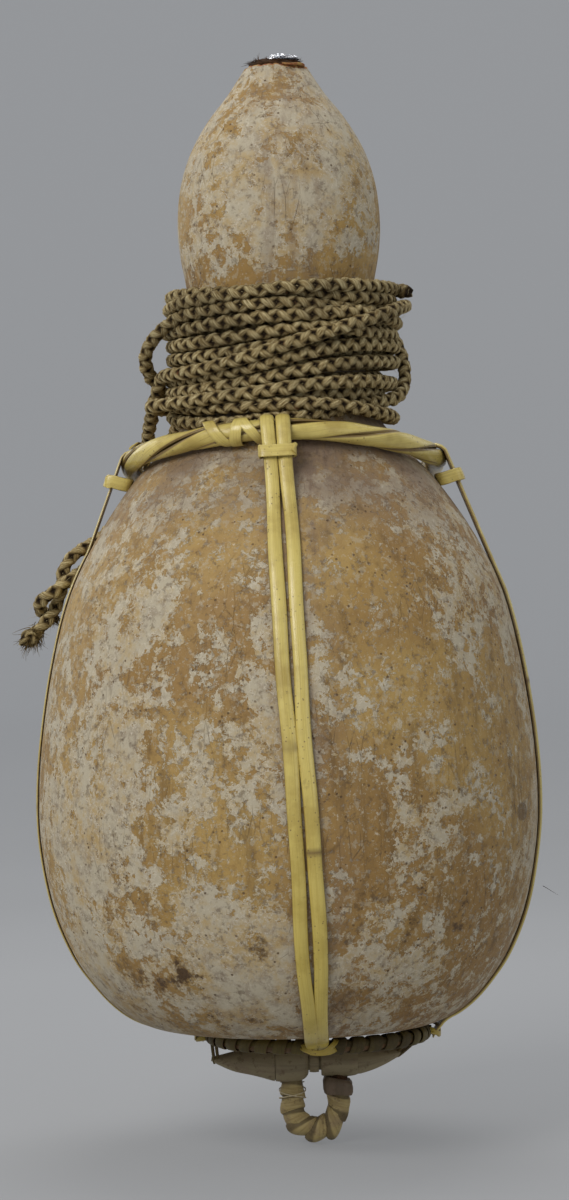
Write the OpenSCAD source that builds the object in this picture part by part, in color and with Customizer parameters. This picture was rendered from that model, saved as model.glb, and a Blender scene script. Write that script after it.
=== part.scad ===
// Bottle gourd vessel in a cane carrying cage, with a plaited rope wound round its waist,
// a fibre stopper and a leaf-wrapped carrying loop under the base. Millimetres, +Z up.
// The origin is on the gourd's axis, in the plane of the base hoop's flat underside.

/* [Gourd] */
// Greatest radius of the lower body
belly_r = 136.5; // [132:0.5:138]
// Height of the lower body's greatest radius
belly_z = 136; // [128:1:142]
// Radius of the narrow waist under the rope
waist_r = 46.5; // [44:0.5:48]
// Greatest radius of the upper bulb
bulb_r = 56; // [54:0.5:58]
// Height of the bulb's greatest radius
bulb_z = 450; // [446:1:454]
// Outside radius of the cut mouth
mouth_r = 17.5; // [17:0.5:19]
// Height of the cut mouth
mouth_z = 536; // [534:1:540]
// Thickness of the dried shell
shell_t = 5.5; // [4:0.5:6]

/* [Cane] */
// Width of a split cane
cane_w = 7.8; // [6:0.2:8.4]
// Thickness of a split cane
cane_t = 3; // [2:0.2:3.4]
// Empty space between the two canes of a pair
pair_gap = 1; // [0.6:0.2:2]
// Radius of one strand of the collar
strand_r = 3.2; // [2.6:0.1:3.3]
// Full twists of the collar's strands round the gourd
collar_twists = 5; // [2:1:7]
// Height of the collar at the gourd's sides
collar_side_z = 320; // [316:1:322]
// How much higher the collar stands at the front, and lower at the back
collar_rise = 15; // [10:1:17]

/* [Base] */
// Mean radius of the base hoop
hoop_r = 58; // [56:0.5:60]
// How far the hoop sits to the right of the gourd's axis
hoop_x = 13; // [10:1:13]
// Thickness of the cane coiled round the hoop
wrap_t = 0.8; // [0.5:0.1:0.8]
// Number of coils round the hoop
wrap_count = 36; // [24:1:40]
// Height of the bar that carries the loop
bar_z = -11.8; // [-12.5:0.1:-11.6]
// Radius of that bar
bar_r = 5; // [4:0.5:5]

/* [Carrying loop] */
// Distance between the middles of the loop's legs
leg_gap = 25.2; // [24:0.2:27]
// Radius of a wrapped leg
leg_r = 6.9; // [6.4:0.1:7]
// Radius of the fibre core in a leg
core_r = 5.3; // [4.5:0.1:5.6]
// Height of the middle of the loop's bend
bend_z = -36; // [-40:1:-34]

/* [Rope and stopper] */
// Diameter of the plaited rope
rope_d = 6.8; // [6:0.2:7]
// Outside radius of the rope wound on the waist
winding_r = 65; // [63:0.5:66]
// Radius of the mouth's hole
hole_r = 13.8; // [13.4:0.1:14]
// Free space round the stopper in the hole
stopper_gap = 0.4; // [0.3:0.1:0.8]

/* [Hidden] */
$fn = 48;

// colours
gourd_tan = [0.72, 0.63, 0.47];
cane_yellow = [0.75, 0.68, 0.36];
cane_dark = [0.55, 0.48, 0.22];
leaf_tan = [0.66, 0.60, 0.45];
rope_khaki = [0.45, 0.38, 0.27];
fibre_brown = [0.25, 0.17, 0.11];
foil_grey = [0.75, 0.76, 0.78];

// fits
seat_clear = 0.3;       // between parts that lie on each other
running_clear = 0.3;    // between the loop and what it swings on
collar_clear = 9.8;     // from the gourd's skin to the collar's middle
collar_loose = 2;       // how much wider the collar is at the sides
collar_pack_r = 4.2;    // from the collar's middle to a strand's middle
hook_r = 8.6;           // inside radius of a cane's hook over the collar
wrap_slot = 0.62;       // part of the hoop's pitch that a coil fills

// Outside of the gourd, as [radius, height], from under the base up to the mouth.
gourd_key = [
    [0, 8.9], [45, 9.2], [72, 10.4], [85, 13.4], [97, 21], [108, 33], [119, 50], [129, 76],
    [belly_r - 1.5, 108], [belly_r, belly_z], [belly_r - 2, 170], [128.5, 210], [119, 247],
    [104, 278], [84, 307.5], [66, 327], [53, 343], [waist_r, 361], [48, 384], [51.6, 415],
    [54.8, 433], [bulb_r, bulb_z], [54, 471], [48, 490], [38, 507.5], [27, 521.5], [mouth_r, mouth_z]
];
curve_steps = 3;

// Smooth curve through points: a and d steer, b and c are its ends.
function spline_at(a, b, c, d, t) =
    0.5 * (2 * b + (c - a) * t + (2 * a - 5 * b + 4 * c - d) * t * t + (3 * b - a - 3 * c + d) * t * t * t);

function spline(p, steps) = [
    for (i = [0 : len(p) - 2])
        for (k = [0 : steps - 1])
            let (a = i == 0 ? 2 * p[0] - p[1] : p[i - 1])
            let (d = i == len(p) - 2 ? 2 * p[i + 1] - p[i] : p[i + 2])
            spline_at(a, p[i], p[i + 1], d, k / steps),
    p[len(p) - 1]
];

function unit(v) = v / norm(v);
function direction(p, i) = unit(p[min(i + 1, len(p) - 1)] - p[max(i - 1, 0)]);
function reversed(p) = [for (i = [len(p) - 1 : -1 : 0]) p[i]];

// A flat curve moved sideways: to its right as it is walked, or to its left for a negative step.
function sideways(p, step) = [
    for (i = [0 : len(p) - 1])
        let (d = direction(p, i))
        p[i] + step * [d[1], -d[0]]
];

gourd_line = spline(gourd_key, curve_steps);
gourd_inside = [for (q = sideways(gourd_line, -shell_t)) if (q[1] < mouth_z - shell_t && q[0] > 0) q];
gourd_table = [for (q = gourd_line) [q[1], q[0]]];
collar_line = sideways(gourd_line, collar_clear);
collar_table = [for (q = collar_line) if (q[1] > 150 && q[1] < 350) [q[1], q[0]]];

function gourd_r(z) = lookup(z, gourd_table);
function collar_z(az) = collar_side_z - collar_rise * sin(az);
function collar_r(az) = lookup(collar_z(az), collar_table) + collar_loose * pow(cos(az), 2);
function collar_at(az) = [collar_r(az) * cos(az), collar_r(az) * sin(az), collar_z(az)];
function collar_dir(az) = unit(collar_at(az + 1) - collar_at(az - 1));

// A tube of round section along a line of points.
module tube(line, r, sides = 8, closed = false) {
    n = len(line);
    function ahead(i) = closed
        ? unit(line[(i + 1) % n] - line[(i + n - 1) % n])
        : direction(line, i);
    rings = [
        for (i = [0 : n - 1])
            let (d = ahead(i))
            let (side = unit(cross(d, abs(d[2]) < 0.9 ? [0, 0, 1] : [1, 0, 0])))
            let (up = cross(side, d))
            for (k = [0 : sides - 1])
                line[i] + r * (cos(360 * k / sides) * side + sin(360 * k / sides) * up)
    ];
    last = closed ? n - 1 : n - 2;
    walls = [
        for (i = [0 : last])
            for (k = [0 : sides - 1])
                let (j = (i + 1) % n)
                let (m = (k + 1) % sides)
                for (f = [
                    [i * sides + k, j * sides + k, i * sides + m],
                    [i * sides + m, j * sides + k, j * sides + m]
                ]) f
    ];
    caps = closed ? [] : [
        [for (k = [0 : sides - 1]) k],
        [for (k = [sides - 1 : -1 : 0]) (n - 1) * sides + k]
    ];
    polyhedron(points = rings, faces = concat(walls, caps), convexity = 10);
}

// Turns +Z to lie along a direction, at a place.
module facing(place, d) {
    translate(place) rotate([0, acos(d[2]), atan2(d[1], d[0])]) children();
}

// ---- gourd ----
module gourd_shell() {
    hole_top = [[mouth_r, mouth_z], [hole_r, mouth_z], [hole_r, mouth_z - 8]];
    outline = concat([for (q = gourd_line) if (q[1] < mouth_z) q], hole_top, reversed(gourd_inside),
                     [[0, gourd_key[0][1] + shell_t]]);
    color(gourd_tan) rotate_extrude($fn = 96) polygon(outline);
}

// ---- collar ----
strand_steps = 72;

function strand_at(turn, i) =
    let (az = 360 * i / strand_steps)
    let (d = collar_dir(az))
    let (out = unit(cross(d, [0, 0, 1])))
    let (up = cross(out, d))
    let (a = collar_twists * az + turn)
    collar_at(az) + collar_pack_r * (cos(a) * out + sin(a) * up);

module collar_strand(turn) {
    color(cane_yellow)
        tube([for (i = [0 : strand_steps - 1]) strand_at(turn, i)], strand_r, 8, true);
}

lashing_w = 5.4;
lashing_azimuths = [-109, -103.4];

module collar_lashing() {
    color(cane_yellow)
        for (az = lashing_azimuths)
            facing(collar_at(az), collar_dir(az))
                translate([0, 0, -lashing_w / 2])
                    difference() {
                        cylinder(r = hook_r + 0.9, h = lashing_w);
                        translate([0, 0, -1]) cylinder(r = hook_r - 0.5, h = lashing_w + 2);
                    }
}

// ---- upright canes ----
// Each pair stands at an azimuth; its middle shifts sideways from the base up to the collar,
// leaves the gourd at a height of its own, and turns down against the hoop at the bottom.
// [azimuth, sideways at the base, sideways at the top, height where it leaves the gourd]
front_pair = [-90, hoop_x, -4, 296];
right_pair = [0, 0, 0, 252];
back_pair = [90, -hoop_x, -4, 268];
left_pair = [180, 0, -3, 278];

top_z = 340;
hook_from = 170;
hook_step = 20;
hoop_out = hoop_r + 4.4 + seat_clear;

function slant(pair) = (pair[2] - pair[1]) / top_z;
function nearest(pair, side, z) = max(0, abs(pair[1] + slant(pair) * z + side) - cane_w / 2);
// distance from the gourd's axis to the hoop's outside, measured along the pair's own direction
function hoop_reach(pair) = hoop_out + hoop_x * cos(pair[0]);

// The inner face of every cane follows this line, from the mouth down, as [outwards, height].
seat_line = reversed(sideways(gourd_line, seat_clear));
under_line = [for (q = gourd_line) if (q[1] < 60) q];
function underside_z(r) = lookup(r, under_line);

// Between the hook over the collar and the gourd a pair is straight: where it starts and ends.
function hook_middle(pair) = [collar_r(pair[0]), collar_z(pair[0])];
function landing(pair) = [for (q = seat_line) if (q[1] < pair[3]) q][0];
function hook_end(pair) =
    let (v = landing(pair) - hook_middle(pair))
    atan2(v[0] - hook_r, -v[1]);
function hook_point(pair, angle) = hook_middle(pair) + hook_r * [cos(angle), sin(angle)];

// The face of a cane that lies on the gourd, from the hook down to the hoop.
function cane_line(pair, side) =
    let (foot = hoop_reach(pair))
    concat(
        [for (a = [hook_from : -hook_step : hook_end(pair) + 5]) hook_point(pair, a)],
        [hook_point(pair, hook_end(pair))],
        [
            for (q = seat_line)
                let (near = nearest(pair, side, q[1]))
                if (q[1] < pair[3] && q[0] > foot + 9 && q[0] > near)
                    [sqrt(q[0] * q[0] - near * near), q[1]]
        ],
        [[foot + 6, underside_z(foot + 6) - 1.6], [foot + 2.6, 6.2], [foot + 0.9, 3.6], [foot + 0.4, 0.8]]
    );

module cane(pair, side) {
    inner = cane_line(pair, side);
    lean = atan(slant(pair));
    stretched = [for (q = inner) [q[0], q[1] / cos(lean)]];
    outline = concat(stretched, reversed(sideways(stretched, -cane_t)));
    color(cane_yellow)
        rotate([0, 0, pair[0]])
            translate([0, pair[1] + side, 0])
                rotate([-lean, 0, 0])
                    translate([0, cane_w / 2, 0])
                        rotate([90, 0, 0])
                            linear_extrude(height = cane_w) polygon(outline);
}

cane_side = (cane_w + pair_gap) / 2;

// ---- ties under the collar ----
tie_h = 6.5;
tie_t = 1.6;
tie_drop = 11.5;

module tie(pair) {
    start = hook_point(pair, hook_end(pair));
    down = unit(landing(pair) - start);
    middle = start + tie_drop * down;
    hole_w = 2 * cane_w + pair_gap + 1;
    hole_t = cane_t + 1.8;
    color(cane_yellow)
        rotate([0, 0, pair[0]])
            translate([middle[0], pair[1] + slant(pair) * middle[1], middle[1]])
                rotate([-atan(slant(pair)), -atan2(down[0], -down[1]), 0])
                    translate([cane_t / 2, 0, -tie_h / 2])
                        linear_extrude(height = tie_h)
                            difference() {
                                square([hole_t + 2 * tie_t, hole_w + 2 * tie_t], center = true);
                                square([hole_t, hole_w], center = true);
                            }
}

// ---- base hoop ----
hoop_half = 3.4;
hoop_mid = 4.2;
hoop_core_r = 3.6;

module hoop_section(r, half) {
    translate([hoop_r, hoop_mid]) circle(r = r);
    translate([hoop_r - half, 0]) square([2 * half, hoop_mid]);
}

module base_hoop() {
    color(cane_dark)
        translate([hoop_x, 0, 0])
            rotate_extrude($fn = 96)
                intersection() {
                    hoop_section(hoop_core_r, hoop_half);
                    square([2 * hoop_r, 2 * hoop_r]);
                }
}

module hoop_wraps() {
    pitch = 360 / wrap_count;
    wrap_in = hoop_core_r + 0.05;
    color(cane_yellow)
        translate([hoop_x, 0, 0])
            for (i = [0 : wrap_count - 1])
                rotate([0, 0, i * pitch])
                    rotate_extrude(angle = pitch * wrap_slot, $fn = 96)
                        difference() {
                            intersection() {
                                hoop_section(hoop_core_r + wrap_t, hoop_core_r + wrap_t);
                                translate([0, 0.4]) square([2 * hoop_r, 2 * hoop_r]);
                            }
                            translate([hoop_r, hoop_mid]) circle(r = wrap_in);
                            translate([hoop_r - wrap_in, -1]) square([2 * wrap_in, hoop_mid + 1]);
                        }
}

// A staple of cane that binds a pair's feet to the hoop.
hitch_h = 3.4;
hitch_t = 1.2;

module hitch(az) {
    near = hoop_out + 0.6;
    far = hoop_out + cane_t + 2.4;
    half = cane_w + pair_gap / 2 + 0.9;
    color(cane_dark)
        translate([hoop_x, 0, 1])
            rotate([0, 0, az])
                linear_extrude(height = hitch_h)
                    difference() {
                        translate([near, -half - hitch_t])
                            square([far + hitch_t - near, 2 * (half + hitch_t)]);
                        translate([near - 1, -half]) square([far + 1 - near, 2 * half]);
                    }
}

// ---- bar under the base ----
bar_from = -37.5;
bar_to = 63.5;
sheath_r = 11;
left_leg_x = hoop_x - 2 - leg_gap / 2;
right_leg_x = left_leg_x + leg_gap;
band_half = leg_r + 1.7;
sheath_t = 1.5;         // thickness of the leaf at the bar's ends
sheath_end_r = 10.4;    // radius of a sheath where it meets the loop
middle_r = 6.6;         // radius of the sheath between the loop's legs
left_end = left_leg_x - leg_r - 2.6;
right_start = right_leg_x + leg_r + 4.8;
middle_from = left_leg_x + leg_r + 2.8;
middle_to = right_leg_x - band_half - 2;

module along_bar() {
    translate([0, 0, bar_z]) rotate([0, 90, 0]) children();
}

module base_bar() {
    color(leaf_tan)
        along_bar() translate([0, 0, bar_from]) cylinder(r = bar_r, h = bar_to - bar_from);
}

module bar_end_ties() {
    wide = 9;
    thick = 1.8;
    color(cane_dark)
        for (x = [bar_from - thick - seat_clear, bar_to + seat_clear])
            translate([x, -wide / 2, bar_z - bar_r])
                cube([thick, wide, 7 + bar_r - bar_z]);
}

// A leaf sheath that tapers towards the bar's end.
module bar_sheath(from, to, from_r, to_r) {
    color(leaf_tan)
        along_bar()
            rotate_extrude($fn = 64)
                polygon([
                    [bar_r, from], [from_r, from], [(from_r + to_r) / 2 + 0.9, (from + to) / 2],
                    [to_r, to], [bar_r, to]
                ]);
}

// ---- carrying loop ----
eye_r = 8.2;
lobe_r = sheath_r;
lobe_in = bar_r + running_clear;

module loop_leg(x) {
    translate([x, 0, bend_z]) cylinder(r = core_r, h = bar_z - bend_z);
}

module loop_core() {
    color(leaf_tan)
        difference() {
            union() {
                loop_leg(left_leg_x);
                loop_leg(right_leg_x);
                for (x = [left_leg_x, right_leg_x])
                    translate([x - leg_r + 1, 0, bar_z])
                        rotate([0, 90, 0])
                            cylinder(r = eye_r, h = 2 * leg_r - 2);
                translate([(left_leg_x + right_leg_x) / 2, 0, bend_z])
                    rotate([-90, 0, 0])
                        rotate_extrude(angle = 180, $fn = 64)
                            translate([leg_gap / 2, 0]) circle(r = core_r);
            }
            along_bar() translate([0, 0, bar_from]) cylinder(r = lobe_in, h = bar_to - bar_from);
        }
}

// The leaf sheath that is draped over the top of a leg and turns with it.
module loop_sheath(leg_x, x, half) {
    color(leaf_tan)
        difference() {
            along_bar()
                rotate_extrude($fn = 64)
                    polygon([
                        [eye_r + 0.1, x - half + 1.1], [lobe_r - 1.2, x - half + 0.4], [lobe_r, x - half / 2],
                        [lobe_r, x + half / 2], [lobe_r - 1.2, x + half - 0.4], [eye_r + 0.1, x + half - 1.1]
                    ]);
            translate([leg_x, 0, bend_z]) cylinder(r = core_r + 0.1, h = bar_z - bend_z);
        }
}

// Overlapping leaf strips on the legs and round the bend.
strip_gap = 0.6;
leg_strips = 2;
bend_strips = 5;
strips_top = bar_z - lobe_r - seat_clear;

module strip_ring(h) {
    difference() {
        cylinder(r = leg_r, h = h);
        translate([0, 0, -1]) cylinder(r = core_r + 0.05, h = h + 2);
    }
}

module loop_wraps() {
    pitch = (strips_top - bend_z) / leg_strips;
    turn = 180 / bend_strips;
    color(leaf_tan) {
        for (x = [left_leg_x, right_leg_x])
            for (i = [0 : leg_strips - 1])
                if (x == left_leg_x || i == 0)
                    translate([x, 0, bend_z + i * pitch + strip_gap / 2]) strip_ring(pitch - strip_gap);
        translate([(left_leg_x + right_leg_x) / 2, 0, bend_z])
            rotate([-90, 0, 0])
                for (i = [0 : bend_strips - 1])
                    rotate([0, 0, i * turn + 1])
                        rotate_extrude(angle = turn - 2, $fn = 64)
                            translate([leg_gap / 2, 0])
                                difference() {
                                    circle(r = leg_r);
                                    circle(r = core_r + 0.05);
                                }
    }
}

// The boxy leaf band at the top of the right leg.
module loop_leg_band() {
    from = bend_z + (strips_top - bend_z) / leg_strips + strip_gap / 2;
    color(leaf_tan)
        translate([right_leg_x, 0, from])
            linear_extrude(height = strips_top - from)
                difference() {
                    square(2 * band_half - 0.6, center = true);
                    circle(r = core_r + 0.05);
                }
}

// A thread that runs slantwise once round the left leg.
thread_r = 0.45;
thread_from = bend_z + 1.5;
thread_to = strips_top - 1;
thread_steps = 20;

module loop_thread() {
    around = leg_r + thread_r + 0.05;
    color(fibre_brown)
        tube([
            for (i = [0 : thread_steps])
                let (a = 360 * i / thread_steps)
                [left_leg_x + around * cos(a), around * sin(a),
                 thread_from + (thread_to - thread_from) * i / thread_steps]
        ], thread_r, 6);
}

// ---- stopper ----
plug_r = hole_r - stopper_gap;
plug_bottom = mouth_z - 26;
head_z = mouth_z + 0.3;

module stopper_plug() {
    color(fibre_brown)
        rotate_extrude($fn = 64)
            polygon([
                [0, plug_bottom], [plug_r - 4, plug_bottom], [plug_r - 1, plug_bottom + 4],
                [plug_r, mouth_z - 12], [plug_r, head_z], [mouth_r - 1.5, head_z], [mouth_r - 2, head_z + 1.8],
                [mouth_r - 6, head_z + 3.6], [0, head_z + 4]
            ]);
}

module stopper_foil() {
    foil_r = 9.5;
    color(foil_grey)
        translate([3, -1, head_z + 4 + 0.05])
            rotate_extrude($fn = 64)
                polygon([[0, 0], [foil_r, 0], [foil_r - 1.5, 1.2], [foil_r - 5, 2], [0, 2.2]]);
}

// ---- rope ----
winding_from = 346;
winding_to = 413;

module rope_winding() {
    skin = [
        for (q = sideways(gourd_line, seat_clear + 0.1))
            if (q[1] > winding_from && q[1] < winding_to) q
    ];
    outline = concat(skin, [
        [winding_r - 7, winding_to], [winding_r - 1.5, winding_to - 7], [winding_r, winding_to - 22],
        [winding_r, winding_from + 20], [winding_r - 2, winding_from + 6], [winding_r - 8, winding_from]
    ]);
    color(rope_khaki) rotate_extrude($fn = 96) polygon(outline);
}

// Both ends of the rope hang over the collar behind the left shoulder.
tail_route = [
    [-69, 8, 350], [-71, 18, 346], [-73.5, 28, 341], [-75.5, 39, 335], [-77, 50, 328], [-79, 62, 321],
    [-83, 70, 312], [-87, 70, 302], [-93, 63, 292], [-99, 54, 284], [-105, 43, 278], [-110, 33, 275],
    [-115, 27, 272], [-121, 24, 268], [-124.5, 23, 260], [-125, 23, 251], [-127.5, 24, 243.5],
    [-131, 24, 236], [-137, 23, 230], [-141, 22, 226]
];
second_route = [
    [-57, 38, 347], [-59.5, 48, 343], [-63, 59, 336], [-67, 70, 326], [-70, 80, 319], [-75, 87, 309],
    [-81, 86, 298], [-88, 77, 288], [-95, 66, 280], [-102, 54, 273], [-108, 42, 267], [-113, 32, 261],
    [-118.5, 15, 257.5], [-127, 12.5, 251], [-137, 17, 245], [-138.5, 28.5, 239.5], [-131, 35.5, 234.5]
];
tuft_at = [-146, 21, 221];
tuft_r = 7;

module rope_tail() {
    color(rope_khaki) tube(spline(tail_route, 2), rope_d / 2, 10);
}

module rope_second_tail() {
    color(rope_khaki) tube(spline(second_route, 2), rope_d / 2, 10);
}

module rope_tuft() {
    color(rope_khaki)
        difference() {
            union() {
                translate(tuft_at) sphere(r = tuft_r);
                translate(tuft_at + [4, 0, -5]) sphere(r = tuft_r - 2);
            }
            facing(tail_route[len(tail_route) - 1], unit([5, 1, 4])) cylinder(r = tuft_r * 2, h = tuft_r * 2);
        }
}

gourd_shell();
collar_strand(0);  // collar_strand_1
collar_strand(120);  // collar_strand_2
collar_strand(240);  // collar_strand_3
collar_lashing();
cane(front_pair, -cane_side);  // front_cane_left
cane(front_pair, cane_side);  // front_cane_right
cane(right_pair, -cane_side);  // right_cane_front
cane(right_pair, cane_side);  // right_cane_rear
cane(back_pair, cane_side);  // back_cane_left
cane(back_pair, -cane_side);  // back_cane_right
cane(left_pair, cane_side);  // left_cane_front
cane(left_pair, -cane_side);  // left_cane_rear
tie(front_pair);  // front_tie
tie(right_pair);  // right_tie
tie(back_pair);  // back_tie
tie(left_pair);  // left_tie
base_hoop();
hoop_wraps();
hitch(-90);  // front_hitch
hitch(0);  // right_hitch
hitch(90);  // back_hitch
hitch(180);  // left_hitch
base_bar();
bar_end_ties();
bar_sheath(bar_from, left_end, bar_r + sheath_t, sheath_end_r);  // bar_sheath_left
bar_sheath(middle_from, middle_to, middle_r, middle_r);  // bar_sheath_middle
bar_sheath(right_start, bar_to, sheath_end_r, bar_r + sheath_t);  // bar_sheath_right
loop_core();
loop_sheath(left_leg_x, left_leg_x, leg_r + 2.2);  // loop_sheath_left
loop_sheath(right_leg_x, right_leg_x + 1, leg_r + 3.2);  // loop_sheath_right
loop_wraps();
loop_thread();
loop_leg_band();
stopper_plug();
stopper_foil();
rope_winding();
rope_tail();
rope_second_tail();
rope_tuft();
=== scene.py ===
import math

import bpy
import numpy as np
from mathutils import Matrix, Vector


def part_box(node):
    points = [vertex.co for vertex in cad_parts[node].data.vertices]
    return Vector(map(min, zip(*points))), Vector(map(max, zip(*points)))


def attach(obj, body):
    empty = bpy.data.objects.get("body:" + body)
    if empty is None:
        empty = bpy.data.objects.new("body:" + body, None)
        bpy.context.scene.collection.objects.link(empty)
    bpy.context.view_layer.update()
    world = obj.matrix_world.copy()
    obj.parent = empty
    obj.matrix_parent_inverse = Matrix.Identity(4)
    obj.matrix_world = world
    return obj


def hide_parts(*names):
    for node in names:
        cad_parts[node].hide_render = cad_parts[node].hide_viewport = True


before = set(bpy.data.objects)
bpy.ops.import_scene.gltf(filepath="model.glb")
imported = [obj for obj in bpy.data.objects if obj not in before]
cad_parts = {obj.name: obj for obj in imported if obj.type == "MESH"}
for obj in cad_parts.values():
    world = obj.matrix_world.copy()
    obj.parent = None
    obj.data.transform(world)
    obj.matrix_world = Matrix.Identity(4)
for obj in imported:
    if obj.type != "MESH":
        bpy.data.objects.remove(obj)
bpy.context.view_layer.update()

MM = 0.001
TAU = 2 * math.pi

bl_info = {
    "name": "Gourd vessel in a cane cage",
    "version": (1, 0, 0),
    "blender": (4, 5, 0),
    "location": "View3D > Sidebar > Vessel",
    "description": "Makes a bottle gourd vessel with its cane cage, plaited rope, stopper and loop",
    "category": "Add Mesh",
}


# ---------------------------------------------------------------- colours and sizes

def srgb(red, green, blue):
    """A colour given as seen on a screen, 0 to 255, as the linear colour that Blender works in."""
    def linear(c):
        c = c / 255
        return c / 12.92 if c <= 0.04045 else ((c + 0.055) / 1.055) ** 2.4
    return (linear(red), linear(green), linear(blue))


def colour(name, description, *screen):
    return bpy.props.FloatVectorProperty(
        name=name, description=description, size=3, min=0, max=1, subtype="COLOR", default=srgb(*screen))


def length(name, description, millimetres, least=0.1, most=700):
    return bpy.props.FloatProperty(
        name=name, description=description, default=millimetres * MM, min=least * MM, max=most * MM,
        precision=4, unit="LENGTH", subtype="DISTANCE")


class VesselSizes(bpy.types.PropertyGroup):
    """Sizes of the pieces"""
    belly_fullness: length(
        "Left fullness", "How much fuller the body's left side is than its right", 1.8, 0, 4)
    dents: length("Dents", "Height of the shallow dents of the gourd's skin", 0.5, 0, 2)
    shell: length("Shell", "Thickness of the dried shell", 5.5)
    cane_width: length("Cane width", "Width of a split cane", 7.8)
    cane_thickness: length("Cane thickness", "Thickness of a split cane", 3.0)
    strand_width: length("Collar strand width", "Width of a strand of the collar", 8.8)
    strand_thickness: length("Collar strand thickness", "Thickness of a strand of the collar", 3.4)
    band_width: length("Band width", "Width of the flat cane that ties and lashes", 6.6)
    coil_width: length("Coil width", "Width of the cane coiled round the base hoop", 8.0)
    rope_diameter: length("Rope diameter", "Diameter of the plaited rope", 6.8)
    plait_pitch: length("Plait pitch", "Length in which a strand of the rope goes once round", 18.5)
    hair_length: length("Hair length", "Usual length of the loose hairs on the rope", 5.0)


class VesselColours(bpy.types.PropertyGroup):
    """Colours of the finishes"""
    ochre: colour("Ochre skin", "Bare skin of the gourd", 178, 146, 84)
    tan: colour("Tan skin", "Bare skin where it is darker", 152, 118, 64)
    chalk: colour("Chalk", "Pale chalky patina on the skin", 188, 177, 153)
    flake: colour("Flake", "Whitish edges of the patina", 214, 204, 182)
    grime: colour("Grime", "Mauve brown dirt of the shoulder", 128, 108, 90)
    stain: colour("Stain", "Brown stains and specks", 88, 66, 42)
    cut_edge: colour("Cut edge", "Red brown cut edge of the mouth", 140, 82, 52)
    cane: colour("Cane", "Olive yellow bark of the split cane", 218, 198, 112)
    cane_shade: colour("Cane shade", "Browner streaks of the cane", 168, 142, 64)
    # painted light: the low cane is brighter as well as yellower than the cane's own colour, to make up for
    # the dimmer light near the base
    cane_low: colour("Low cane", "Deeper yellow of the canes near the base", 196, 172, 66)
    # painted shade: this dark olive stands in for the shade under the gourd's belly, which darkens the hoop,
    # its coil, the strap's twine and the hitches
    cane_dark: colour("Dark cane", "Cane darkened by handling, at the base", 92, 78, 22)
    pith: colour("Pith", "Brown inner face of the cane", 98, 70, 40)
    leaf: colour("Leaf", "Dry leaf of the strap and loop", 142, 129, 98)
    leaf_shade: colour("Leaf shade", "Darker veins of the leaf", 92, 78, 58)
    straw: colour("Straw", "Yellow leaf strips of the loop", 176, 156, 104)
    straw_shade: colour("Straw shade", "Darker veins of the loop's strips", 118, 94, 44)
    rope: colour("Rope", "Coarse khaki fibre of the rope", 146, 124, 80)
    # partly painted highlight: the rope's finish puts this pale colour on the outward tops of its strands;
    # the loose hairs use it as their own pale fibre
    pale_fibre_and_highlight: colour("Rope highlight", "Pale worn tops of the rope's strands", 224, 208, 160)
    # also painted shade: the rope's finish puts this colour on the strands' inward faces and under-crossings,
    # and the loop's finish at the seams of its strips; the frayed ends and the wad use it as their own dark
    # fibre
    dark_fibre_and_shade: colour("Rope shade", "Dark fibre between the strands", 44, 32, 18)
    wad: colour("Wad", "Dark fibre of the stopper", 84, 54, 32)
    foil: colour("Foil", "Bright metal foil", 226, 228, 232)
    backdrop: colour("Backdrop", "Grey studio floor and backdrop", 176, 178, 183)


def sizes():
    return bpy.context.scene.vessel_sizes


def tint(name):
    return tuple(getattr(bpy.context.scene.vessel_colours, name)) + (1.0,)


# ---------------------------------------------------------------- curves

GOURD_KEY = np.array([
    (0, 8.9), (45, 9.2), (72, 10.4), (85, 13.4), (97, 21), (108, 33), (119, 50), (129, 76),
    (135, 108), (136.5, 136), (134.5, 170), (128.5, 210), (119, 247),
    (104, 278), (84, 307.5), (66, 327), (53, 343), (46.5, 361), (48, 384), (51.6, 415),
    (54.8, 433), (56, 450), (54, 471), (48, 490), (38, 507.5), (27, 521.5), (17.5, 536)]) * MM


def smooth_line(points, steps):
    """A smooth curve through points, with steps stretches between each two."""
    p = np.asarray(points, float)
    p = np.vstack([2 * p[0] - p[1], p, 2 * p[-1] - p[-2]])
    t = (np.arange(steps) / steps)[None, :, None]
    a, b, c, d = (p[i:len(p) - 3 + i, None, :] for i in range(4))
    body = 0.5 * (2 * b + (c - a) * t + (2 * a - 5 * b + 4 * c - d) * t ** 2
                  + (3 * b - a - 3 * c + d) * t ** 3)
    return np.vstack([body.reshape(-1, p.shape[1]), p[-2]])


def lengths_along(line):
    return np.concatenate([[0], np.cumsum(np.linalg.norm(np.diff(line, axis=0), axis=1))])


def spaced(line, step):
    """The same curve with points an even step apart."""
    along = lengths_along(line)
    at = np.linspace(0, along[-1], max(3, int(round(along[-1] / step)) + 1))
    return np.column_stack([np.interp(at, along, line[:, i]) for i in range(line.shape[1])])


def unit(v):
    return v / np.maximum(np.linalg.norm(v, axis=-1, keepdims=True), 1e-12)


def tangents(line, closed=False):
    if closed:
        return unit(np.roll(line, -1, 0) - np.roll(line, 1, 0))
    return unit(np.gradient(line, axis=0))


def beside(line, step):
    """A flat curve moved to its right by step."""
    d = tangents(line)
    return line + step * np.column_stack([d[:, 1], -d[:, 0]])


GOURD_LINE = smooth_line(GOURD_KEY, 5)
MOUTH_R = 16.5 * MM
# How light the backdrop's paper is at a share of 7 m from the vessel, against the lights' falling off.
BACKDROP_GREYS = ((0.0, 0.22), (0.12, 0.23), (0.2, 0.20), (0.3, 0.21), (0.5, 0.30), (0.75, 0.38), (1.0, 0.42))


def ease(x):
    x = np.clip(x, 0, 1)
    return x * x * (3 - 2 * x)


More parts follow.
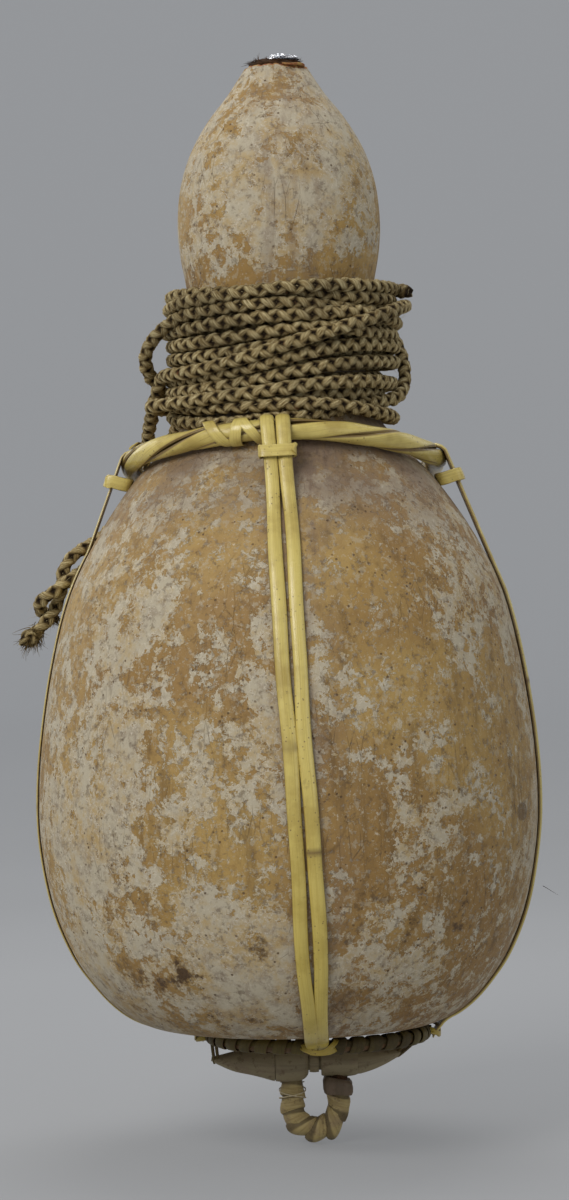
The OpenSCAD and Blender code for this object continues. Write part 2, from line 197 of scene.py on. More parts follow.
def unevenness(az, z):
    """How far the real skin stands proud of the even gourd, in metres."""
    s = sizes()
    turn = np.mod(az, TAU) - math.pi
    left = s.belly_fullness * np.exp(-(turn / 0.75) ** 2 - ((z - 0.115) / 0.075) ** 2)
    dent = (np.sin(2 * az + 1.3) * np.sin(z / 0.043 + 0.4) + 0.7 * np.sin(3 * az - 0.6) * np.cos(z / 0.029)
            + 0.5 * np.sin(5 * az + 2.1) * np.sin(z / 0.021 + 1.0))
    return left + 0.5 * s.dents * dent


def skin_r(z):
    side = GOURD_LINE[GOURD_LINE[:, 0] > MOUTH_R]
    order = np.argsort(side[:, 1])
    return np.interp(z, side[order, 1], side[order, 0])


def polar(r, az, z):
    r, az, z = np.broadcast_arrays(r, az, z)
    return np.stack([r * np.cos(az), r * np.sin(az), z], axis=-1)


# ---------------------------------------------------------------- modelling

def deselect():
    if bpy.context.mode != "OBJECT":
        bpy.ops.object.mode_set(mode="OBJECT")
    bpy.ops.object.select_all(action="DESELECT")


def pick(obj):
    deselect()
    obj.select_set(True)
    bpy.context.view_layer.objects.active = obj
    return obj


def named(obj, name):
    obj.name = name
    obj.data.name = name
    return obj


def points_of(obj):
    co = np.empty(len(obj.data.vertices) * 3)
    obj.data.vertices.foreach_get("co", co)
    return co.reshape(-1, 3)


def move_points(obj, co):
    obj.data.vertices.foreach_set("co", np.asarray(co, float).ravel())
    obj.data.update()


def tidy_normals(obj, merge=0.0):
    pick(obj)
    bpy.ops.object.mode_set(mode="EDIT")
    bpy.ops.mesh.select_all(action="SELECT")
    if merge:
        bpy.ops.mesh.remove_doubles(threshold=merge)
    bpy.ops.mesh.normals_make_consistent(inside=False)
    bpy.ops.object.mode_set(mode="OBJECT")
    return obj


def shade(obj, degrees=50):
    pick(obj)
    bpy.ops.object.shade_smooth_by_angle(angle=math.radians(degrees))
    return obj


def join(parts, name):
    deselect()
    for part in parts:
        part.select_set(True)
    bpy.context.view_layer.objects.active = parts[0]
    if len(parts) > 1:
        bpy.ops.object.join()
    return named(parts[0], name)


def swept(name, line, up, section, closed=False, size=None, smooth=50, mark=None):
    """A bar of a flat section (across, upwards) along a line, with u round it and v along it in metres."""
    line = np.asarray(line, float)
    ahead = tangents(line, closed)
    up = np.broadcast_to(np.asarray(up, float), line.shape)
    up = unit(up - (up * ahead).sum(1, keepdims=True) * ahead)
    across = np.cross(ahead, up)
    size = np.ones(len(line)) if size is None else np.asarray(size, float)
    size = size if size.ndim == 2 else np.column_stack([size, size])
    if closed:
        line, up, across, size = (np.vstack([v, v[:1]]) for v in (line, up, across, size))
    rings, around = len(line), len(section)
    deselect()
    bpy.ops.mesh.primitive_circle_add(vertices=around, radius=1, fill_type="NOTHING", calc_uvs=False)
    obj = named(bpy.context.object, name)
    screw = obj.modifiers.new("Screw", "SCREW")
    screw.angle, screw.screw_offset, screw.axis = 0, 1, "Z"
    screw.steps = screw.render_steps = rings - 1
    bpy.ops.object.modifier_apply(modifier=screw.name)
    co = points_of(obj)
    ring = np.rint(co[:, 2] * (rings - 1)).astype(int)
    spot = np.rint(np.arctan2(co[:, 1], co[:, 0]) / TAU * around).astype(int) % around
    w, n = np.asarray(section, float)[spot].T
    w, n = w * size[ring, 0], n * size[ring, 1]
    move_points(obj, line[ring] + w[:, None] * across[ring] + n[:, None] * up[ring])
    mesh = obj.data
    corner = np.empty(len(mesh.loops), np.int32)
    mesh.loops.foreach_get("vertex_index", corner)
    u = spot[corner].reshape(-1, 4).astype(float)
    u[(u == 0) & (u.max(1, keepdims=True) == around - 1)] = around
    v = lengths_along(line)[ring[corner]]
    layer = mesh.uv_layers.new(name="UVMap")
    layer.data.foreach_set("uv", np.column_stack([u.ravel() / around, v]).astype(np.float32).ravel())
    if mark is not None:
        values = np.asarray(mark, float)[np.minimum(ring, len(mark) - 1)]
        marks = mesh.attributes.new("joint_mark", "FLOAT", "POINT")
        marks.data.foreach_set("value", values.astype(np.float32))
    pick(obj)
    bpy.ops.object.mode_set(mode="EDIT")
    bpy.ops.mesh.select_all(action="SELECT")
    if closed:
        bpy.ops.mesh.remove_doubles(threshold=1e-6)
    else:
        bpy.ops.mesh.fill_holes(sides=around)
    bpy.ops.mesh.select_all(action="SELECT")
    bpy.ops.mesh.normals_make_consistent(inside=False)
    bpy.ops.object.mode_set(mode="OBJECT")
    return shade(obj, smooth)


def turned(name, profile, steps):
    """A body of revolution about +Z from (radius, height) points, spun in edit mode."""
    deselect()
    bpy.ops.mesh.primitive_plane_add(size=MM, location=(profile[0][0], 0, profile[0][1]))
    obj = named(bpy.context.object, name)
    bpy.ops.object.transform_apply(location=True, rotation=True, scale=True)
    bpy.ops.object.mode_set(mode="EDIT")
    bpy.ops.mesh.select_all(action="SELECT")
    bpy.ops.mesh.merge(type="CENTER")
    for here, there in zip(profile[:-1], profile[1:]):
        bpy.ops.mesh.extrude_region_move(
            TRANSFORM_OT_translate={"value": (there[0] - here[0], 0, there[1] - here[1])})
    bpy.ops.mesh.select_all(action="SELECT")
    bpy.ops.mesh.spin(steps=steps, angle=TAU, center=(0, 0, 0), axis=(0, 0, 1))
    bpy.ops.object.mode_set(mode="OBJECT")
    return tidy_normals(obj, merge=2e-6)


def oval(width, height, count=12):
    a = np.arange(count) / count * TAU
    return np.column_stack([width / 2 * np.cos(a), height / 2 * np.sin(a)])


def flat_band(width, thick, count=12):
    """A flat strip's section with rounded edges."""
    a = np.arange(count) / count * TAU
    c, s = np.cos(a), np.sin(a)
    return np.column_stack([
        width / 2 * np.sign(c) * np.abs(c) ** 0.45, thick / 2 * np.sign(s) * np.abs(s) ** 0.7])


def half_round(width, thick, sink=0.0):
    """A split cane's section: a flat inner face and a rounded outer one."""
    top = np.linspace(0, math.pi, 11)
    dome = np.column_stack([width / 2 * np.cos(top), thick * (0.16 + 0.84 * np.sin(top) ** 0.8)])
    floor = np.column_stack([np.linspace(-0.47, 0.47, 5) * width, np.zeros(5)])
    return np.vstack([dome, floor]) - (0, sink)


def finish_piece(obj, body, materials, nodes=()):
    """Gives a piece its material, the body that it moves with and the nodes it stands for."""
    for material in materials if isinstance(materials, (list, tuple)) else [materials]:
        if material.name not in obj.data.materials:
            obj.data.materials.append(material)
    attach(obj, body)
    if nodes:
        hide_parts(*nodes)
    return obj


# ---------------------------------------------------------------- finishes

def socket_of(sockets, key):
    if isinstance(key, int):
        return sockets[key]
    for s in sockets:
        if s.identifier == key:
            return s
    return sockets[key]


class Value:
    """A shader socket that takes part in sums."""

    def __init__(self, finish, socket):
        self.finish, self.socket = finish, socket

    def sum(self, operation, a, b):
        return self.finish.node("ShaderNodeMath", {"operation": operation}, {0: a, 1: b})

    def __add__(self, other): return self.sum("ADD", self, other)
    def __radd__(self, other): return self.sum("ADD", other, self)
    def __sub__(self, other): return self.sum("SUBTRACT", self, other)
    def __rsub__(self, other): return self.sum("SUBTRACT", other, self)
    def __mul__(self, other): return self.sum("MULTIPLY", self, other)
    def __rmul__(self, other): return self.sum("MULTIPLY", other, self)
    def __truediv__(self, other): return self.sum("DIVIDE", self, other)
    def __rtruediv__(self, other): return self.sum("DIVIDE", other, self)
    def __pow__(self, other): return self.sum("POWER", self, other)


class Finish:
    """A material with a Principled shader, built from expressions."""

    def __init__(self, name, **uniform):
        self.material = bpy.data.materials.new(name)
        self.material.use_nodes = True
        self.tree = self.material.node_tree
        self.shader = self.tree.nodes["Principled BSDF"]
        for key, value in uniform.items():
            self.shader.inputs[key.replace("_", " ")].default_value = value
        self.place = self.node("ShaderNodeTexCoord", out="Object")

    def node(self, kind, settings=None, inputs=None, out=0):
        made = self.tree.nodes.new(kind)
        for key, value in (settings or {}).items():
            if key == "stops":
                ramp = made.color_ramp
                while len(ramp.elements) < len(value):
                    ramp.elements.new(0.5)
                for element, (at, shown) in zip(ramp.elements, value):
                    element.position, element.color = at, shown
            else:
                setattr(made, key, value)
        for key, value in (inputs or {}).items():
            socket = socket_of(made.inputs, key)
            if isinstance(value, Value):
                self.tree.links.new(value.socket, socket)
            else:
                socket.default_value = value
        return Value(self, socket_of(made.outputs, out))

    def noise(self, scale, detail=3.0, rough=0.5, at=None, warp=0.0):
        return self.node("ShaderNodeTexNoise", {"noise_dimensions": "3D"}, {
            "Vector": at or self.place, "Scale": scale, "Detail": detail, "Roughness": rough,
            "Distortion": warp})

    def cells(self, scale, at=None, feature="F1"):
        return self.node("ShaderNodeTexVoronoi", {"feature": feature}, {
            "Vector": at or self.place, "Scale": scale}, out="Distance")

    def stretched(self, x, y, z):
        return self.node("ShaderNodeMapping", {"vector_type": "POINT"}, {
            "Vector": self.place, "Scale": (x, y, z)})

    def uv(self):
        return self.node("ShaderNodeUVMap", {"uv_map": "UVMap"})

    def parts(self, vector=None):
        split = self.tree.nodes.new("ShaderNodeSeparateXYZ")
        self.tree.links.new((vector or self.place).socket, split.inputs[0])
        return [Value(self, s) for s in split.outputs]

    def step(self, value, low, high, to_low=0.0, to_high=1.0):
        return self.node("ShaderNodeMapRange", {"interpolation_type": "SMOOTHSTEP"}, {
            "Value": value, "From Min": low, "From Max": high, "To Min": to_low, "To Max": to_high})

    def mix(self, share, a, b, blend="MIX"):
        return self.node("ShaderNodeMix", {"data_type": "RGBA", "blend_type": blend, "clamp_factor": True}, {
            "Factor_Float": share, "A_Color": a, "B_Color": b}, out="Result_Color")

    def zone(self, centre, reach):
        """1 at a place on the piece, falling to 0 at its reach."""
        away = self.node("ShaderNodeVectorMath", {"operation": "SUBTRACT"}, {0: self.place, 1: centre})
        scaled = self.node("ShaderNodeVectorMath", {"operation": "DIVIDE"}, {0: away, 1: reach})
        far = self.node("ShaderNodeVectorMath", {"operation": "LENGTH"}, {0: scaled}, out="Value")
        return self.step(far, 1.0, 0.25)

    def mark(self, name):
        return self.node("ShaderNodeAttribute", {"attribute_name": name}, out="Fac")

    def use(self, key, value):
        if isinstance(value, Value):
            self.tree.links.new(value.socket, self.shader.inputs[key])
        else:
            self.shader.inputs[key].default_value = value

    def bumped(self, height, distance, strength=1.0):
        self.use("Normal", self.node("ShaderNodeBump", None, {
            "Height": height, "Distance": distance, "Strength": strength}))

    def done(self):
        return self.material


def gourd_skin():
    f = Finish("gourd_skin", Specular_IOR_Level=0.35)
    x, y, z = f.parts()
    front = f.step(y, 0.02, -0.03)
    # where the chalk has worn off
    big = f.noise(13, 4, 0.6, warp=0.6)
    middling = f.noise(52, 7, 0.72, warp=0.4)
    small = f.noise(150, 5, 0.74, warp=0.3)
    ragged = f.noise(400, 4, 0.78)
    wear = big * 0.27 + middling * 0.31 + small * 0.28 + ragged * 0.14
    bare = (f.zone((-0.034, -0.11, 0.215), (0.046, 0.07, 0.145)) * 0.042
            + f.zone((0.042, -0.11, 0.200), (0.052, 0.07, 0.15)) * 0.050
            + f.zone((0.100, -0.07, 0.150), (0.05, 0.08, 0.13)) * 0.048
            + f.zone((0.0, 0.11, 0.19), (0.09, 0.07, 0.13)) * 0.060
            + f.zone((0.03, -0.03, 0.418), (0.07, 0.07, 0.020)) * 0.060
            + f.zone((0.050, -0.02, 0.450), (0.03, 0.05, 0.05)) * 0.030)
    chalked = (f.zone((-0.105, -0.07, 0.15), (0.05, 0.09, 0.16)) * 0.034
               + f.zone((0.0, -0.09, 0.050), (0.12, 0.08, 0.055)) * 0.040
               + f.zone((0.0, -0.02, 0.465), (0.08, 0.08, 0.065)) * 0.060)
    level = wear + bare - chalked
    worn = f.step(level, 0.500, 0.511)
    edge = f.step(level, 0.468, 0.502) * (1 - worn)
    # skin under the chalk
    drift = f.noise(9, 5, 0.6)
    skin = f.mix(f.step(drift, 0.40, 0.62), tint("ochre"), tint("tan"))
    streaks = f.noise(1.0, 7, 0.66, at=f.stretched(95, 95, 12))
    skin = f.mix(f.step(streaks, 0.50, 0.70) * 0.45, skin, tint("stain"), "MULTIPLY")
    skin = f.mix(f.step(small, 0.50, 0.66) * 0.5, skin, tint("tan"))
    # chalk with its own clouds, whiter towards its edge
    clouds = f.noise(52, 7, 0.72)
    chalk = f.mix(f.step(clouds, 0.40, 0.62) * 0.75, tint("chalk"), tint("ochre"))
    chalk = f.mix(f.step(small, 0.46, 0.62) * 0.5, chalk, tint("grime"))
    chalk = f.mix(edge * 0.9 * f.step(ragged, 0.40, 0.58), chalk, tint("flake"))
    shown = f.mix(worn * 0.96, chalk, skin)
    flecks = f.step(f.noise(460, 4, 0.72), 0.57, 0.65)
    shown = f.mix(flecks * 0.6, shown, tint("flake"))
    shown = f.mix(f.step(f.noise(190, 5, 0.74), 0.55, 0.60) * 0.45, shown, tint("chalk"))
    soot = f.step(f.noise(230, 5, 0.75), 0.54, 0.64)
    shown = f.mix(soot * 0.55, shown, tint("stain"))
    # dirt of the shoulder, beside the front canes and in the waist
    cane_x = 0.0125 - z * 0.0265
    beside_cane = f.step(x - cane_x, 0.034, 0.0) * f.step(x - cane_x, -0.022, 0.0) * front
    shoulder = f.step(z, 0.262, 0.318) * f.step(z, 0.42, 0.36)
    dirt = shoulder * f.step(f.noise(30, 7, 0.6), 0.30, 0.62) * 0.85 + beside_cane * f.step(
        f.noise(1.0, 6, 0.65, at=f.stretched(120, 60, 16)), 0.38, 0.62) * 0.55
    shown = f.mix(dirt, shown, tint("grime"))
    # painted shade: the right side and the bottom of the body are darkened in mottled patches, standing in
    # for the weaker light there
    painted_shade_right_low = f.step(x, 0.07, 0.135) * 0.30 + f.step(z, 0.06, 0.015) * 0.35
    shown = f.mix(painted_shade_right_low * f.step(middling, 0.35, 0.62), shown, tint("tan"), "MULTIPLY")
    # stains, specks and pits
    stain_spots = f.step(f.noise(52, 6, 0.70), 0.585, 0.68) * (
        f.zone((-0.045, -0.10, 0.045), (0.07, 0.08, 0.07)) + f.zone((0.0, 0, 0.30), (0.14, 0.14, 0.05)) * 0.6
        + f.zone((0.06, -0.09, 0.07), (0.08, 0.08, 0.07)) * 0.9 + 0.35)
    shown = f.mix(stain_spots * 0.8, shown, tint("stain"))
    speck = f.step(f.cells(230), 0.20, 0.09) * f.step(f.noise(70, 3, 0.5), 0.44, 0.60)
    shown = f.mix(speck * 0.85, shown, tint("stain"))
    scratch = f.step(f.cells(1.0, at=f.stretched(150, 150, 22), feature="DISTANCE_TO_EDGE"),
                     0.035, 0.0) * f.step(f.noise(28, 3), 0.52, 0.66)
    shown = f.mix(scratch * 0.4, shown, tint("stain"))
    oval_scar = f.step(f.zone((0.1245, -0.055, 0.128), (0.006, 0.02, 0.008)), 0.3, 0.7)
    shown = f.mix(oval_scar * 0.6, shown, tint("stain"))
    f.use("Base Color", shown)
    f.use("Roughness", f.step(level, 0.48, 0.53, 0.88, 0.56))
    f.bumped(f.step(level, 0.49, 0.52, 1.0, 0.0) * 0.45 + ragged * 0.35 + small * 0.7 + soot * -0.2
             - speck * 0.5 - scratch * 0.4, 0.0007, 0.8)
    return f.done()


def cut_edge():
    f = Finish("cut_edge", Specular_IOR_Level=0.3)
    grain = f.noise(420, 5, 0.7)
    f.use("Base Color", f.mix(f.step(grain, 0.4, 0.66), tint("cut_edge"), tint("ochre")))
    f.use("Roughness", 0.85)
    f.bumped(grain, 0.0006, 0.8)
    return f.done()


def inner_wall():
    f = Finish("inner_wall", Specular_IOR_Level=0.2)
    pulp = f.noise(130, 7, 0.7)
    f.use("Base Color", f.mix(pulp, tint("stain"), tint("tan")))
    f.use("Roughness", 0.95)
    f.bumped(pulp, 0.001, 0.8)
    return f.done()


def cane_finish(name, bark, streak, gloss, speckled, coat=0.35, low=0.5):
    f = Finish(name, Specular_IOR_Level=0.5, Coat_Roughness=0.16)
    u, v, _ = f.parts(f.uv())
    along = f.node("ShaderNodeCombineXYZ", None, {"X": u * 30, "Y": v * 20, "Z": 0.0})
    fibres = f.noise(1.0, 6, 0.62, at=along)
    patches = f.noise(46, 5, 0.6)
    shown = f.mix(f.step(fibres, 0.44, 0.68) * 0.45, tint(bark), tint(streak))
    shown = f.mix(f.step(patches, 0.42, 0.66) * 0.65, shown, tint(streak))
    height = f.parts()[2]
    # painted light near the base: below 0.19 m the cane is mixed, by the share low, towards a yellower and
    # brighter colour that makes up for the dimmer light there
    shown = f.mix(f.step(height, 0.19, 0.03) * low, shown, tint("cane_low"))
    dots = f.step(f.cells(380), 0.22, 0.10) * f.step(f.noise(60, 3), 0.46, 0.58)
    shown = f.mix(dots * speckled, shown, tint("pith"))
    wear = f.step(f.noise(110, 6, 0.7), 0.62, 0.72)
    shown = f.mix(wear * 0.35 * speckled, shown, tint("pith"))
    inner = f.step(u, 0.545, 0.61) * f.step(u, 0.999, 0.985) + f.step(u, 0.075, 0.030)
    shown = f.mix(inner * 0.85, shown, tint("pith"))
    ring = f.mark("joint_mark")
    shown = f.mix(ring * 0.8, shown, tint("pith"))
    f.use("Base Color", shown)
    f.use("Roughness", f.step(patches, 0.3, 0.7, gloss, gloss + 0.22))
    f.use("Coat Weight", f.step(inner, 0.0, 1.0, coat, 0.0))
    f.bumped(fibres * 0.7 + dots * 0.3 - ring * 0.4 + patches * 0.4, 0.00035, 0.7)
    return f.done()


def leaf_finish(name, light, dark, wrapped=False):
    """Dry leaf, with its veins along the piece, or round it with painted shade where each strip comes out."""
    f = Finish(name, Specular_IOR_Level=0.4)
    u, v, _ = f.parts(f.uv())
    across, along = (v * 800, u * 3.0) if wrapped else (u * 12, v * 22)
    veins = f.noise(1.0, 5, 0.6, at=f.node("ShaderNodeCombineXYZ", None, {"X": across, "Y": along, "Z": 0.0}))
    cloud = f.noise(70, 6, 0.65)
    shown = f.mix(f.step(veins, 0.38, 0.70) * 0.5, tint(light), tint(dark))
    shown = f.mix(f.step(cloud, 0.46, 0.64) * 0.5, shown, tint("grime"))
    shown = f.mix(f.step(f.noise(260, 4, 0.7), 0.56, 0.66) * 0.5, shown, tint("stain"))
    if wrapped:
        # painted shade: just after the start of each strip, where it comes out from under the one before, it
        # is darkened with the dark fibre colour
        shown = f.mix(f.step(v, 0.0054, 0.0036) * 0.65, shown, tint("dark_fibre_and_shade"))
    f.use("Base Color", shown)
    f.use("Roughness", f.step(cloud, 0.3, 0.7, 0.5, 0.8))
    f.bumped(veins + cloud * 0.5, 0.0006, 0.8)
    return f.done()


def rope_finish():
    f = Finish("rope_fibre", Specular_IOR_Level=0.2)
    u, v, _ = f.parts(f.uv())
    yarn = f.noise(1.0, 6, 0.7, at=f.node("ShaderNodeCombineXYZ", None, {
        "X": u * 26 + v * 700, "Y": v * 190, "Z": 0.0}))
    tone = f.noise(24, 4, 0.6)
    top = f.mark("outwards")
    # painted shade: where outwards is low, on the strands' inward faces and where a strand goes under, the
    # rope takes the dark fibre colour
    shown = f.mix(f.step(top, 0.15, 0.7), tint("dark_fibre_and_shade"), tint("rope"))
    # painted highlight, partly pale worn fibre: the outward tops of the strands are lightened in streaks
    # along the yarn
    shown = f.mix(f.step(yarn, 0.45, 0.58) * f.step(top, 0.4, 0.8) * 0.9, shown, tint("pale_fibre_and_highlight"))
    shown = f.mix(f.step(yarn, 0.46, 0.30) * 0.75, shown, tint("dark_fibre_and_shade"))
    shown = f.mix(f.step(tone, 0.46, 0.66) * 0.4, shown, tint("dark_fibre_and_shade"))
    rusty = f.step(f.noise(75, 4, 0.6), 0.66, 0.74)
    shown = f.mix(rusty * 0.5, shown, tint("cut_edge"))
    f.use("Base Color", shown)
    f.use("Roughness", 0.92)
    f.bumped(yarn, 0.0009, 1.0)
    return f.done()


def plain_fibre(name, light, dark, rough=0.9):
    f = Finish(name, Specular_IOR_Level=0.2)
    grain = f.noise(300, 5, 0.7)
    broad = f.noise(70, 4, 0.6)
    share = f.step(grain, 0.35, 0.68) * 0.6 + f.step(broad, 0.4, 0.7) * 0.4
    f.use("Base Color", f.mix(share, tint(dark), tint(light)))
    f.use("Roughness", rough)
    f.bumped(grain, 0.0008, 1.0)
    return f.done()


def foil_finish():
    f = Finish("crumpled_foil", Metallic=1.0)
    crease = f.cells(260, feature="DISTANCE_TO_EDGE")
    f.use("Base Color", f.mix(f.step(f.noise(300, 3), 0.4, 0.7) * 0.35, tint("foil"), tint("grime")))
    f.use("Roughness", f.step(f.noise(200, 3), 0.3, 0.7, 0.16, 0.34))
    f.bumped(crease, 0.0012, 0.8)
    return f.done()


def studio_grey():
    f = Finish("studio_grey", Specular_IOR_Level=0.1)
    f.use("Emission Color", (0.93, 0.96, 1.0, 1.0))
    f.use("Emission Strength", 0.16)
    soft = f.noise(1.2, 3, 0.5)
    away = f.node("ShaderNodeVectorMath", {"operation": "LENGTH"}, {0: f.place}, out="Value")
    grey = [(at, (v, v * 1.005, v * 1.02, 1.0)) for at, v in BACKDROP_GREYS]
    shown = f.node("ShaderNodeValToRGB", {"stops": grey}, {"Fac": away / 7.0})
    f.use("Base Color", f.mix(f.step(soft, 0.3, 0.7) * 0.04, shown, tint("backdrop")))
    f.use("Roughness", 0.9)
    f.bumped(f.noise(500, 3), 0.0002, 0.2)
    return f.done()


FINISHES = {}


def finish(name):
    """Each material is made once, the first time that a piece asks for it."""
    makers = {
        "gourd_skin": gourd_skin, "cut_edge": cut_edge, "inner_wall": inner_wall,
        "split_cane": lambda: cane_finish("split_cane", "cane", "cane_shade", 0.26, 0.7),
        # the hitches at the feet get a darker copy of the cane, partly painted shade for the shade at the
        # base
        "old_cane": lambda: cane_finish("old_cane", "cane_shade", "cane_dark", 0.32, 0.9, 0.2),
        # the hoop, its coil and the strap's twine get a darkened copy of the cane: painted shade for the
        # shade under the belly
        "dark_cane": lambda: cane_finish("dark_cane", "cane_dark", "dark_fibre_and_shade", 0.55, 0.9, 0.0, 0.0),
        "leaf": lambda: leaf_finish("leaf", "leaf", "leaf_shade"),
        "straw": lambda: leaf_finish("straw", "straw", "straw_shade", True),
        "old_leaf": lambda: leaf_finish("old_leaf", "leaf_shade", "grime"),
        "rope": rope_finish, "frayed": lambda: plain_fibre("frayed", "rope", "dark_fibre_and_shade"),
        "rope_hair": lambda: plain_fibre("rope_hair", "pale_fibre_and_highlight", "rope"),
        "wad": lambda: plain_fibre("wad_fibre", "wad", "dark_fibre_and_shade"),
        "thread": lambda: plain_fibre("thread", "flake", "straw", 0.8),
        "splinter": lambda: plain_fibre("splinter", "dark_fibre_and_shade", "stain", 0.8),
        "foil": foil_finish, "studio_grey": studio_grey,
    }
    if name not in FINISHES:
        FINISHES[name] = makers[name]()
    return FINISHES[name]


# ---------------------------------------------------------------- stage

class VESSEL_OT_stage(bpy.types.Operator):
    """Make the camera, the soft lights and the grey floor with its round backdrop"""
    bl_idname = "vessel.stage"
    bl_label = "Stage"

    def execute(self, context):
        scene = context.scene
        scene.view_settings.view_transform = "Standard"
        deselect()
        bpy.ops.object.camera_add(location=(0, -2.0, 0.275))
        camera = context.object
        camera.name = "camera"
        camera.rotation_euler = (math.radians(90), math.radians(1.1), 0)
        camera.data.sensor_width = 36
        camera.data.lens = 108.7
        camera.data.shift_y = -0.0483
        camera.data.shift_x = -0.0003
        scene.camera = camera
        floor_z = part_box("loop_core")[0].z - 0.0035
        rim, high, bend = 6.8, 5.5, 1.8
        profile = [(0, floor_z), (1.0, floor_z), (3.0, floor_z), (rim - bend, floor_z)]
        profile += [(rim - bend + bend * math.sin(a), floor_z + bend - bend * math.cos(a))
                    for a in np.linspace(0.15, math.pi / 2, 10)]
        profile += [(rim, high)]
        cove = shade(turned("backdrop", profile, 96), 60)
        cove.data.materials.append(finish("studio_grey"))
        lights = [("key", (-1.5, -2.1, 1.9), 1.5, 49, (1.0, 0.985, 0.96)),
                  ("fill", (2.1, -1.9, 0.9), 1.8, 9, (0.97, 0.985, 1.0)),
                  ("top", (0.2, 0.9, 2.6), 1.6, 24, (1.0, 1.0, 1.0)),
                  ("back_left", (-2.2, 1.6, 1.2), 1.4, 12, (1.0, 1.0, 1.0)),
                  ("back_right", (2.2, 1.7, 1.3), 1.4, 4, (1.0, 1.0, 1.0))]
        for name, place, width, power, shown in lights:
            deselect()
            bpy.ops.object.light_add(type="AREA", location=place)
            lamp = context.object
            lamp.name = name
            lamp.data.shape, lamp.data.size = "SQUARE", width
            lamp.data.energy, lamp.data.color = power, shown
            aim = np.array((0, 0, 0.27)) - np.array(place)
            flat = math.hypot(aim[0], aim[1])
            lamp.rotation_euler = (math.atan2(flat, -aim[2]), 0, math.atan2(aim[1], aim[0]) - math.pi / 2)
        world = bpy.data.worlds.new("studio")
        scene.world = world
        world.use_nodes = True
        world.node_tree.nodes["Background"].inputs["Color"].default_value = (0.93, 0.96, 1.0, 1)
        world.node_tree.nodes["Background"].inputs["Strength"].default_value = 0.34
        return {"FINISHED"}


# ---------------------------------------------------------------- rope

# Each outer turn of the winding: its height at the right, the front and the left, and how far
# out it lies. The rope starts as a stub at the upper right and goes round by the front, left and back.
OUTER_TURNS = np.array([
    (409.5, 410.0, 404.0, 62.0), (404.0, 408.5, 407.5, 60.0), (401.0, 401.5, 400.0, 60.5),
    (400.0, 396.0, 391.0, 61.5), (389.0, 387.0, 384.0, 60.0), (354.0, 343.0, 346.0, 58.5),
    (343.0, 349.5, 352.0, 60.5), (363.0, 357.5, 349.0, 62.0), (375.0, 364.5, 355.5, 61.0),
    (388.0, 372.0, 360.5, 62.0), (394.0, 382.0, 376.5, 58.5), (402.0, 380.5, 367.0, 66.0)]) * MM
INNER_FROM, INNER_TO, INNER_TURNS = 0.407, 0.351, 7
# Steps between points: while the rope settles, and when its strands are laid.
ROPE_STEP, PLAIT_STEP = 0.0045, 0.0016

# The two hanging ends, as in the part's own source, in metres.
TAIL_ROUTE = np.array([
    (-69, 8, 350), (-71, 18, 346), (-73.5, 28, 341), (-75.5, 39, 335), (-77, 50, 328), (-79, 62, 321),
    (-83, 70, 312), (-87, 70, 302), (-93, 63, 292), (-99, 54, 284), (-105, 43, 278), (-110, 33, 275),
    (-115, 27, 272), (-121, 24, 268), (-124.5, 23, 260), (-125, 23, 251), (-127.5, 24, 243.5),
    (-131, 24, 236), (-137, 23, 230), (-141, 22, 226)]) * MM
SECOND_ROUTE = np.array([
    (-57, 38, 347), (-59.5, 48, 343), (-63, 59, 336), (-67, 70, 326), (-70, 80, 319), (-75, 87, 309),
    (-81, 86, 298), (-88, 77, 288), (-95, 66, 280), (-102, 54, 273), (-108, 42, 267), (-113, 32, 261),
    (-118.5, 15, 257.5), (-127, 12.5, 251), (-137, 17, 245), (-138.5, 28.5, 239.5), (-131, 35.5, 234.5)]) * MM


def outer_winding():
    """The line of the outer turns, before the rope settles."""
    right, front, left, reach = OUTER_TURNS.T
    middle = (right + left) / 2
    count = len(OUTER_TURNS)
    turn = np.arange(0, count - 1 + 0.475, 1 / 72)
    k = np.minimum(turn.astype(int), count - 1)
    part = turn - k
    to_next = ease((part - 0.55) / 0.4)
    nxt = np.minimum(k + 1, count - 1)

    def blended(values):
        return values[k] * (1 - to_next) + values[nxt] * to_next
    az = -TAU * turn
    z = blended(middle) + blended((right - left) / 2) * np.cos(az) - blended(front - middle) * np.sin(az)
    wave = turn * 1.7
    z = z + (1.3 * np.sin(az * 2 + wave * 3.1) + 0.9 * np.sin(az * 3.3 + wave)) * MM
    r = blended(reach) + (0.9 * np.sin(az * 3 + wave * 2) + 0.6 * np.sin(az * 5 + wave)) * MM
    # a loose bight at the left of the third turn, and one at the right before the sixth
    drop = ease((turn - 2.40) / 0.17) * (1 - ease((turn - 2.62) / 0.30))
    z = z + (0.353 - z) * drop
    r = r + 0.0145 * np.exp(-((turn - 2.485) / 0.05) ** 2)
    climb = ease((turn - 4.62) / 0.20) * (1 - ease((turn - 4.90) / 0.13))
    z = z + (0.402 - z) * climb
    r = r + 0.0095 * np.exp(-((turn - 4.985) / 0.055) ** 2)
    r = r + 0.012 * np.exp(-((turn - 7.47) / 0.04) ** 2)
    return polar(r, az, z)


def inner_winding():
    """The turns under the outer ones, which end where the second end sets off at the left."""
    turn = np.linspace(0, INNER_TURNS, 72 * INNER_TURNS)
    az = math.radians(152) + TAU * (INNER_TURNS - turn)
    z = INNER_FROM + (INNER_TO - INNER_FROM) * turn / turn[-1] + 1.2 * MM * np.sin(az + 1)
    return polar(skin_r(z) + 6.2 * MM + 0.4 * MM * np.sin(4 * az), az, z)


